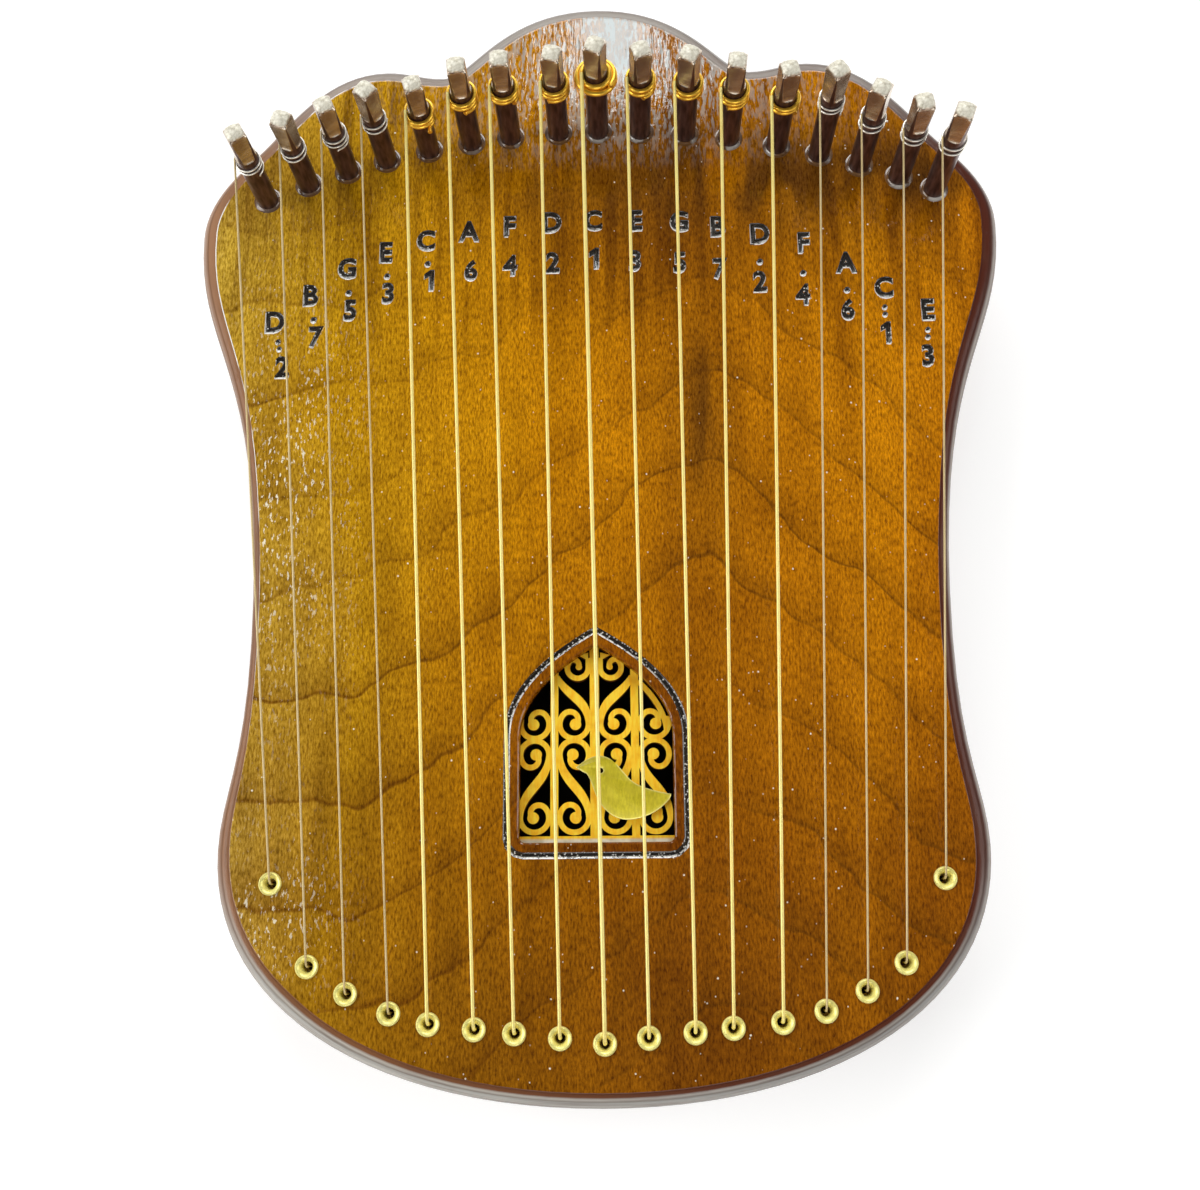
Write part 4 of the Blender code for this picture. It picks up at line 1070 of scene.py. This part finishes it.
# The thickest coil's lap over itself: the turn where it starts, the turns in which it moves out, how far out
# in radii, and its rise in a turn as a share of the pitch
LAP_START = 2
LAP_TURNS = 0.4
LAP_OUT = 1.7
LAP_BACK = 0.8
# (height, radius as a share of BALL_RADIUS) of a ball end
BALL_SHAPE = ((0.0003, 0.55), (0.0005, 0.85), (0.0008, 1.0), (0.0021, 1.0), (0.0024, 0.85), (0.0026, 0.55))
# (share of the flange's radius, share of the rise) of the bend over an eyelet
EYELET_BENDS = ((0.01, -0.3), (0.05, 0.1), (0.13, 0.42), (0.26, 0.70), (0.44, 0.90), (0.66, 1.0))


def coil_point(index, turn, radius):
    """(distance from the pin's axis, drop below the coil's top) after turn turns."""
    wind = PIN_DIAMETER / 2 + COIL_GAP + radius
    pitch = COIL_PITCHES[index] * MM
    wave = COIL_WAVE * math.sin(COIL_WAVE_RATE * turn + index) * min(turn, 1.0)
    lap = turn - LAP_START
    if index != THICKEST or lap < 0:
        return wind, pitch * (turn + wave)
    over = min(lap / LAP_TURNS, 1.0)
    return wind + LAP_OUT * radius * over, pitch * (LAP_START + wave - LAP_BACK * lap)


def string_path(index, radius, coil_radius):
    """Points and radii from ball end to cut end, the coil's first point, its top and how far it falls."""
    eye = Vector(EYELETS[index])
    pin = Vector(PINS[index][:2])
    top = PINS[index][2] - PIN_HEAD_LENGTH - COIL_BELOW_HEAD
    wind, _ = coil_point(index, 0, coil_radius)
    along = (Vector((pin.x - wind, pin.y)) - eye).normalized()
    over = FRONT_Z + EYELET_CROWN + radius
    path = [(Vector((eye.x, eye.y, z)), BALL_RADIUS * wide) for z, wide in BALL_SHAPE]
    path += [(Vector((eye.x, eye.y, z)), radius) for z in (0.0030, 0.010, FRONT_Z - 0.0012)]
    reach = EYELET_FLANGE / 2
    for share, lift in EYELET_BENDS:
        spot = eye + along * reach * share
        path.append((Vector((spot.x, spot.y, FRONT_Z + (over - FRONT_Z) * lift)), radius))
    away = Vector((pin.x - wind, pin.y, top))
    start = path[-1][0]
    steps = 40
    path += [(start.lerp(away, step / steps), radius) for step in range(1, steps)]
    coil_start = len(path)
    turns = COIL_TURNS[index]
    count = round(turns * 32)
    for step in range(count + 1):
        turn = turns * step / count
        angle = math.pi - 2 * math.pi * turn
        out, drop = coil_point(index, turn, coil_radius)
        thick = radius + (coil_radius - radius) * min(4 * turn, 1.0)
        spot = Vector((pin.x + out * math.cos(angle), pin.y + out * math.sin(angle), top - drop))
        path.append((spot, thick))
    onward = Vector((math.sin(angle), -math.cos(angle), 0))
    outward = Vector((math.cos(angle), math.sin(angle), 0))
    end = path[-1][0]
    for step in (1, 2, 3, 4):
        far = TAILS.get(index, SHORT_TAIL) * step / 4
        path.append((end + onward * far + outward * far * TAIL_SPREAD * step, coil_radius))
    return path, coil_start, top, max(coil_point(index, turn, coil_radius)[1] for turn in (LAP_START, turns))


def make_strings():
    # The golden brown of the straight steel wire is a painted reflection of the wood.
    steel = string_metal("steel_wire", (0.66, 0.52, 0.26), (0.46, 0.33, 0.13), 0.2, 0.4)
    steel_coil = string_metal("steel_coil", (0.90, 0.88, 0.80), (0.70, 0.66, 0.58), 0.7, 0.32)
    bronze = string_metal("wound_bronze", (1.0, 0.86, 0.30), (0.96, 0.68, 0.14), 0.25, 0.35)
    bronze_coil = string_metal("bronze_coil", (1.0, 0.62, 0.07), (0.90, 0.46, 0.03), 0.8, 0.30)
    sides = 12
    for index, number in enumerate(NUMBERED):
        wound = abs(index - THICKEST) <= BRONZE_REACH
        swell = THICKEST_SWELL if index == THICKEST else 1.0
        radius = swell * BRONZE_RADIUS if wound else STEEL_RADIUS
        coil_radius = swell * BRONZE_COIL_RADIUS if wound else STEEL_RADIUS
        path, coil_start, top, fall = string_path(index, radius, coil_radius)
        mesh = tube(f"string_{number}_wire", [p for p, _ in path], [r for _, r in path], sides)
        for polygon in mesh.polygons:
            polygon.material_index = 1 if polygon.index // sides >= coil_start else 0
        string = new_object(mesh.name, mesh, *((bronze, bronze_coil) if wound else (steel, steel_coil)))
        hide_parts(f"string_{number}")
        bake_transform(string)


# The grille and the bird

GRILLE_REVEAL = 0.0006
BAR_OFFSET = 0.0087
CENTRE_BAR = 0.0020
SIDE_BAR = 0.0017
SCROLL_WIDTH = 0.0012
SCROLL_SWELL = 0.0020
SCROLL_OVERLAP = 0.0003
SCROLL_ROWS = (0.127, 0.442, 0.598, 0.889)
SCROLL_SWEEP = 370
SCROLL_HOLD = 225
SCROLL_BULB = 0.0025
SCROLL_EYE = 0.0003
TOP_SCROLL_RADIUS = 0.0023
TOP_SCROLL_SWEEP = 320
TOP_SCROLL_BULB = 0.0014
TOP_SCROLL_LEAF = 0.0022
GRILLE_TOP = BOARD_Z - GLUE_LINE
GRILLE_THICKNESS = 0.002
SILL_STRIP = 0.0015
GRILLE_MARGIN = 0.0004
GRILLE_RIM = 0.0001
ARCH_INSET = 0.0007
COLUMN_GAP = 0.0001


def anticlockwise(polygon):
    pairs = zip(polygon, polygon[1:] + polygon[:1])
    area = sum(start.x * end.y - end.x * start.y for start, end in pairs)
    return polygon if area > 0 else polygon[::-1]


def flat_plate(outer, inner, solids, low, high):
    """A plate of the region in outer but not in inner, or in any of solids."""
    coords = []
    faces = []
    for polygon in (outer, inner, *solids):
        faces.append(list(range(len(coords), len(coords) + len(polygon))))
        coords += anticlockwise(polygon)
    points, _, cells, _, _, owners = delaunay_2d_cdt(coords, [], faces, 1, 1e-7, True)
    bm = bmesh.new()
    verts = [bm.verts.new((p.x, p.y, low)) for p in points]
    for cell, owner in zip(cells, owners):
        held = set(owner)
        if held - {0, 1} or held == {0}:
            bm.faces.new([verts[i] for i in cell])
    bmesh.ops.delete(bm, geom=[v for v in bm.verts if not v.link_faces], context="VERTS")
    bmesh.ops.dissolve_limit(bm, angle_limit=math.radians(0.5), verts=bm.verts, edges=bm.edges)
    made = bmesh.ops.extrude_face_region(bm, geom=bm.faces[:])
    raised = [item for item in made["geom"] if isinstance(item, bmesh.types.BMVert)]
    bmesh.ops.translate(bm, vec=(0, 0, high - low), verts=raised)
    return bm


def soften_rims(bm, high, offset):
    """Bevels the edges round the top of a flat plate."""
    rims = [e for e in bm.edges if all(v.co.z > high - TINY for v in e.verts)
            and any(abs(f.normal.z) < 0.5 for f in e.link_faces)]
    bmesh.ops.bevel(bm, geom=rims, offset=offset, segments=1, affect="EDGES", clamp_overlap=True)


def volute(centre, radius, start, sign, sweep, steps):
    """A scroll round centre from angle start into its eye. It keeps its radius for SCROLL_HOLD degrees."""
    points = []
    for step in range(steps + 1):
        turned = sweep * step / steps
        angle = start - math.radians(turned)
        share = max(turned - SCROLL_HOLD, 0) / (sweep - SCROLL_HOLD)
        reach = radius + (SCROLL_EYE - radius) * share**2 * (3 - 2 * share)
        points.append(centre + Vector((sign * reach * math.cos(angle), reach * math.sin(angle))))
    return points


def stem(start, leave, arrive, end):
    return interpolate_bezier(start, leave, arrive, end, 20)[1:-1]


def ribbon(points, swollen=range(0)):
    """A band along points, as a polygon. It swells to SCROLL_SWELL in the middle of the swollen points."""
    left = []
    right = []
    last = len(points) - 1
    for index, point in enumerate(points):
        along = (points[min(index + 1, last)] - points[max(index - 1, 0)]).normalized()
        width = SCROLL_WIDTH
        if index in swollen:
            share = (index - swollen.start + 1) / (len(swollen) + 1)
            width += (SCROLL_SWELL - SCROLL_WIDTH) * math.sin(math.pi * share)
        side = Vector((-along.y, along.x)) * width / 2
        left.append(point + side)
        right.append(point - side)
    return left + right[::-1]


def bulb(tip, across):
    return circle(tip.x, tip.y, across / 2, 24)


def scrolls(bar_edge, far_edge, inner_column):
    """The scrolls of one column, between the edge of its side bar and its far edge."""
    sign = 1 if far_edge > bar_edge else -1
    radius = abs(far_edge - bar_edge) / 2 - SCROLL_WIDTH / 2 + SCROLL_OVERLAP
    middle = (bar_edge + far_edge) / 2
    low, third, second, high = [Vector((middle, SILL_Y + WINDOW_HEIGHT * share)) for share in SCROLL_ROWS]
    down = volute(low, radius, 0, sign, SCROLL_SWEEP, 44)
    up = volute(third, radius, math.pi, sign, SCROLL_SWEEP, 44)[::-1]
    curl = volute(second, radius, 0, sign, SCROLL_SWEEP, 44)
    run = stem(up[-1], up[-1].lerp(Vector((up[-1].x, down[0].y)), 0.45),
               down[0].lerp(Vector((down[0].x, up[-1].y)), 0.45), down[0])
    shapes = [ribbon(up + run + down, range(len(up), len(up) + len(run)))]
    shapes += [bulb(tip, SCROLL_BULB) for tip in (up[0], down[-1], curl[-1])]
    if not inner_column:
        return shapes + [ribbon([curl[0] + Vector((0, radius / 2))] + curl)]
    rise = high.y - second.y
    root = Vector((bar_edge - sign * SCROLL_OVERLAP, second.y + 0.84 * rise))
    bend = root + Vector((sign * 0.7 * radius, -0.36 * rise))
    run = stem(root, bend, curl[0] + Vector((0, 0.45 * rise)), curl[0])
    shapes.append(ribbon([root] + run + curl, range(1, 1 + len(run))))
    bar_side = far_edge + sign * (SCROLL_OVERLAP - SCROLL_WIDTH / 2)
    eye = Vector((bar_side - sign * TOP_SCROLL_RADIUS, high.y))
    top = volute(eye, TOP_SCROLL_RADIUS, 0, sign, TOP_SCROLL_SWEEP, 36)
    shapes.append(ribbon([Vector((bar_side, high.y + TOP_SCROLL_LEAF))] + top))
    shapes.append(bulb(top[-1], TOP_SCROLL_BULB))
    leaf = [Vector((bar_side, high.y + TOP_SCROLL_LEAF + rise)) for rise in (-SCROLL_WIDTH / 2, SCROLL_WIDTH)]
    leaf.append(Vector((bar_side - sign * TOP_SCROLL_LEAF, high.y + TOP_SCROLL_LEAF + SCROLL_WIDTH / 2)))
    return shapes + [leaf]


def rectangle(left, right, low, high):
    return [Vector((left, low)), Vector((right, low)), Vector((right, high)), Vector((left, high))]


def arch_y(x):
    """Height of the window's arch above a point at x."""
    arch = [p for p in window_outline(0) if p.y > SILL_Y + WINDOW_SIDE / 2]
    arch.sort(key=lambda p: p.x)
    for near, far in zip(arch, arch[1:]):
        if near.x <= x <= far.x:
            return near.lerp(far, (x - near.x) / (far.x - near.x)).y
    return SILL_Y + WINDOW_SIDE


def make_grille():
    reveal = WINDOW_WIDTH / 2 - GRILLE_REVEAL
    bury = OVERSHOOT
    wide = reveal + bury
    solids = [rectangle(GRILLE_X - wide, GRILLE_X + wide, SILL_Y - bury, SILL_Y + SILL_STRIP)]
    solids.append(rectangle(GRILLE_X - CENTRE_BAR / 2, GRILLE_X + CENTRE_BAR / 2, SILL_Y, APEX_Y + bury))
    for sign in (-1, 1):
        bar_x = GRILLE_X + sign * BAR_OFFSET
        left, right = bar_x - SIDE_BAR / 2, bar_x + SIDE_BAR / 2
        inner_edge, outer_edge = (left, right) if sign > 0 else (right, left)
        solids.append(rectangle(left, right, SILL_Y, arch_y(bar_x) + bury))
        solids += scrolls(inner_edge, GRILLE_X + sign * CENTRE_BAR / 2, True)
        solids += scrolls(outer_edge, GRILLE_X + sign * (WINDOW_WIDTH / 2 - COLUMN_GAP), False)
    edge = window_outline(-ARCH_INSET, GRILLE_X)
    arch = [p for p in edge if p.x > GRILLE_X + BAR_OFFSET and p.y > SILL_Y + WINDOW_SIDE]
    solids.append(ribbon(arch))
    inner = window_outline(GRILLE_MARGIN, GRILLE_X)
    bm = flat_plate(window_outline(2 * bury), inner, solids, GRILLE_TOP - GRILLE_THICKNESS, GRILLE_TOP)
    soften_rims(bm, GRILLE_TOP, GRILLE_RIM)
    grille = solid("scroll_grille", bm, grille_wood())
    soften(grille.data, 30)
    dress(grille, "grille")


BIRD_LENGTH = 0.0202
BIRD_X = 0.0048
BIRD_Y = SILL_Y + 0.0116
BIRD_EYE = 0.0012
# Where the eye is, as shares of BIRD_LENGTH from the bird's middle
BIRD_EYE_SPOT = (-0.24, 0.18)
BIRD_THICKNESS = 0.001
BIRD_RIM = 0.00034
BIRD_RIM_DROP = 0.00022


def bird_outline():
    """A small perching bird that looks left."""
    nodes = (
        (-0.50, 0.215, 0, 40),
        (-0.25, 0.335, 0, 0),
        (0.06, 0.095, -47, -47),
        (0.50, -0.075, -13, -75),
        (0.48, -0.130, -125, -130),
        (0.06, -0.337, 184, 184),
        (-0.31, -0.03, 108, 108),
        (-0.39, 0.15, 128, 165),
        (-0.50, 0.215, 150, 0),
    )
    segments = ((0.35, 0.35, 14), (0.35, 0.35, 14), (0.30, 0.35, 14), (0.30, 0.30, 3), (0.30, 0.40, 16),
                (0.38, 0.35, 14), (0.30, 0.30, 6), (0.30, 0.30, 3))
    scaled = [(x * BIRD_LENGTH, y * BIRD_LENGTH, a, b) for x, y, a, b in nodes]
    return [p + Vector((BIRD_X, BIRD_Y)) for p in bezier_path(scaled, segments)[:-1]]


def make_bird():
    low = GRILLE_TOP + GLUE_LINE
    high = low + BIRD_THICKNESS
    across, up = BIRD_EYE_SPOT
    eye = circle(BIRD_X + across * BIRD_LENGTH, BIRD_Y + up * BIRD_LENGTH, BIRD_EYE / 2, 20)
    bm = flat_plate(bird_outline(), eye, [], low, high)
    top = [face for face in bm.faces if all(vertex.co.z > high - TINY for vertex in face.verts)]
    rim = {vertex for face in top for vertex in face.verts}
    bmesh.ops.inset_region(bm, faces=top, thickness=BIRD_RIM, use_even_offset=True)
    for vertex in rim:
        vertex.co.z -= BIRD_RIM_DROP
    bird = solid("brass_bird", bm, bird_brass())
    soften(bird.data, 40)
    dress(bird, "bird")


def dress_inner_nodes():
    beech = bare_wood("beech", (0.60, 0.40, 0.21), (0.44, 0.26, 0.12))
    spruce = bare_wood("spruce", (0.74, 0.57, 0.35), (0.58, 0.40, 0.22))
    for name, finish in (("pin_block", beech), ("tail_block", beech), ("brace", spruce)):
        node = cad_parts[name]
        node.data.materials.clear()
        node.data.materials.append(finish)


# Floor, light and camera

FLOOR_REACH = 3
FLOOR_BOTTOM = -0.02
FLOOR_TOP = -0.00005
# The camera's place in metres, its direction, its roll in degrees and its lens in millimetres
CAMERA_PLACE = (0.0069, -0.0935, FRONT_Z + 0.2765)
CAMERA_INTO = (35.2, 331.9, 1300.0)
CAMERA_ROLL = -0.78
CAMERA_LENS = 39.0


def make_stage():
    bm = bmesh.new()
    square = rectangle(-FLOOR_REACH, FLOOR_REACH, -FLOOR_REACH, FLOOR_REACH)
    prism(bm, square, FLOOR_BOTTOM, FLOOR_TOP)
    made = Nodes("pale_floor")
    made.put(Base_Color=(0.62, 0.62, 0.61, 1.0), Roughness=0.9)
    light = made.add("ShaderNodeLightPath")
    straight = made.product(light.outputs["Is Camera Ray"], 0.6)
    seen = made.math("MAXIMUM", straight, light.outputs["Is Glossy Ray"])
    made.put(Emission_Color=(1.0, 1.0, 1.0, 1.0))
    made.send("Emission Strength", seen)
    floor = solid("floor", bm, made.owner)


def area_light(name, place, width, height, watts, colour=(1, 1, 1)):
    """A lamp that shines at the middle of the lyre."""
    light = bpy.data.lights.new(name, "AREA")
    light.shape = "RECTANGLE"
    light.size = width
    light.size_y = height
    light.energy = watts
    light.color = colour
    obj = bpy.data.objects.new(name, light)
    obj.location = place
    obj.rotation_euler = (Vector((0, 0, FRONT_Z)) - Vector(place)).to_track_quat("-Z", "Y").to_euler()
    bpy.context.scene.collection.objects.link(obj)


def make_light():
    area_light("window", (0.0, 1.3, 0.9), 1.4, 0.6, 14.0)
    area_light("glare", (-0.004, 1.06, 1.24), 0.11, 0.16, 0.55, (0.90, 0.97, 1.0))
    area_light("left", (-1.2, -0.1, 0.8), 1.0, 1.0, 14.0)
    area_light("right", (1.2, 0.0, 0.8), 0.8, 0.8, 6.0)
    area_light("front", (0.1, -1.3, 0.7), 0.8, 0.8, 5.0)
    sky = Nodes("studio", bpy.data.worlds)
    height = sky.part("ShaderNodeTexCoord", "Generated", "Z")
    shade = sky.ramp(height, (0.0, (0.45, 0.45, 0.45)), (0.75, (0.07, 0.065, 0.06)))
    seen = sky.add("ShaderNodeLightPath").outputs["Is Camera Ray"]
    sky.join(sky.mix(seen, shade, (1.0, 1.0, 1.0)), sky.tree.nodes["Background"].inputs["Color"])
    bpy.context.scene.world = sky.owner


def make_camera():
    """The photo's camera, 276.5 mm from the face and tilted 14.4 degrees, with a 39 mm lens."""
    roll = math.radians(CAMERA_ROLL)
    into = Vector(CAMERA_INTO).normalized()
    hint = Vector((math.sin(roll), -math.cos(roll), 0))
    up = (hint - into * hint.dot(into)).normalized()
    turn = Matrix((into.cross(up), up, -into)) @ Matrix.Diagonal((1, -1, -1))
    data = bpy.data.cameras.new("camera")
    data.sensor_fit = "HORIZONTAL"
    data.sensor_width = 36.0
    data.lens = CAMERA_LENS
    data.clip_start = 0.01
    camera = bpy.data.objects.new("camera", data)
    camera.matrix_world = Matrix.Translation(CAMERA_PLACE) @ turn.to_4x4()
    bpy.context.scene.collection.objects.link(camera)
    bpy.context.scene.camera = camera


make_soundboard()
make_side("left_side", -1)
make_side("right_side", 1)
make_back()
make_pins()
make_collars()
make_eyelets()
make_strings()
make_grille()
make_bird()
dress_inner_nodes()
make_stage()
make_light()
make_camera()

bpy.context.scene.view_settings.view_transform = "Standard"
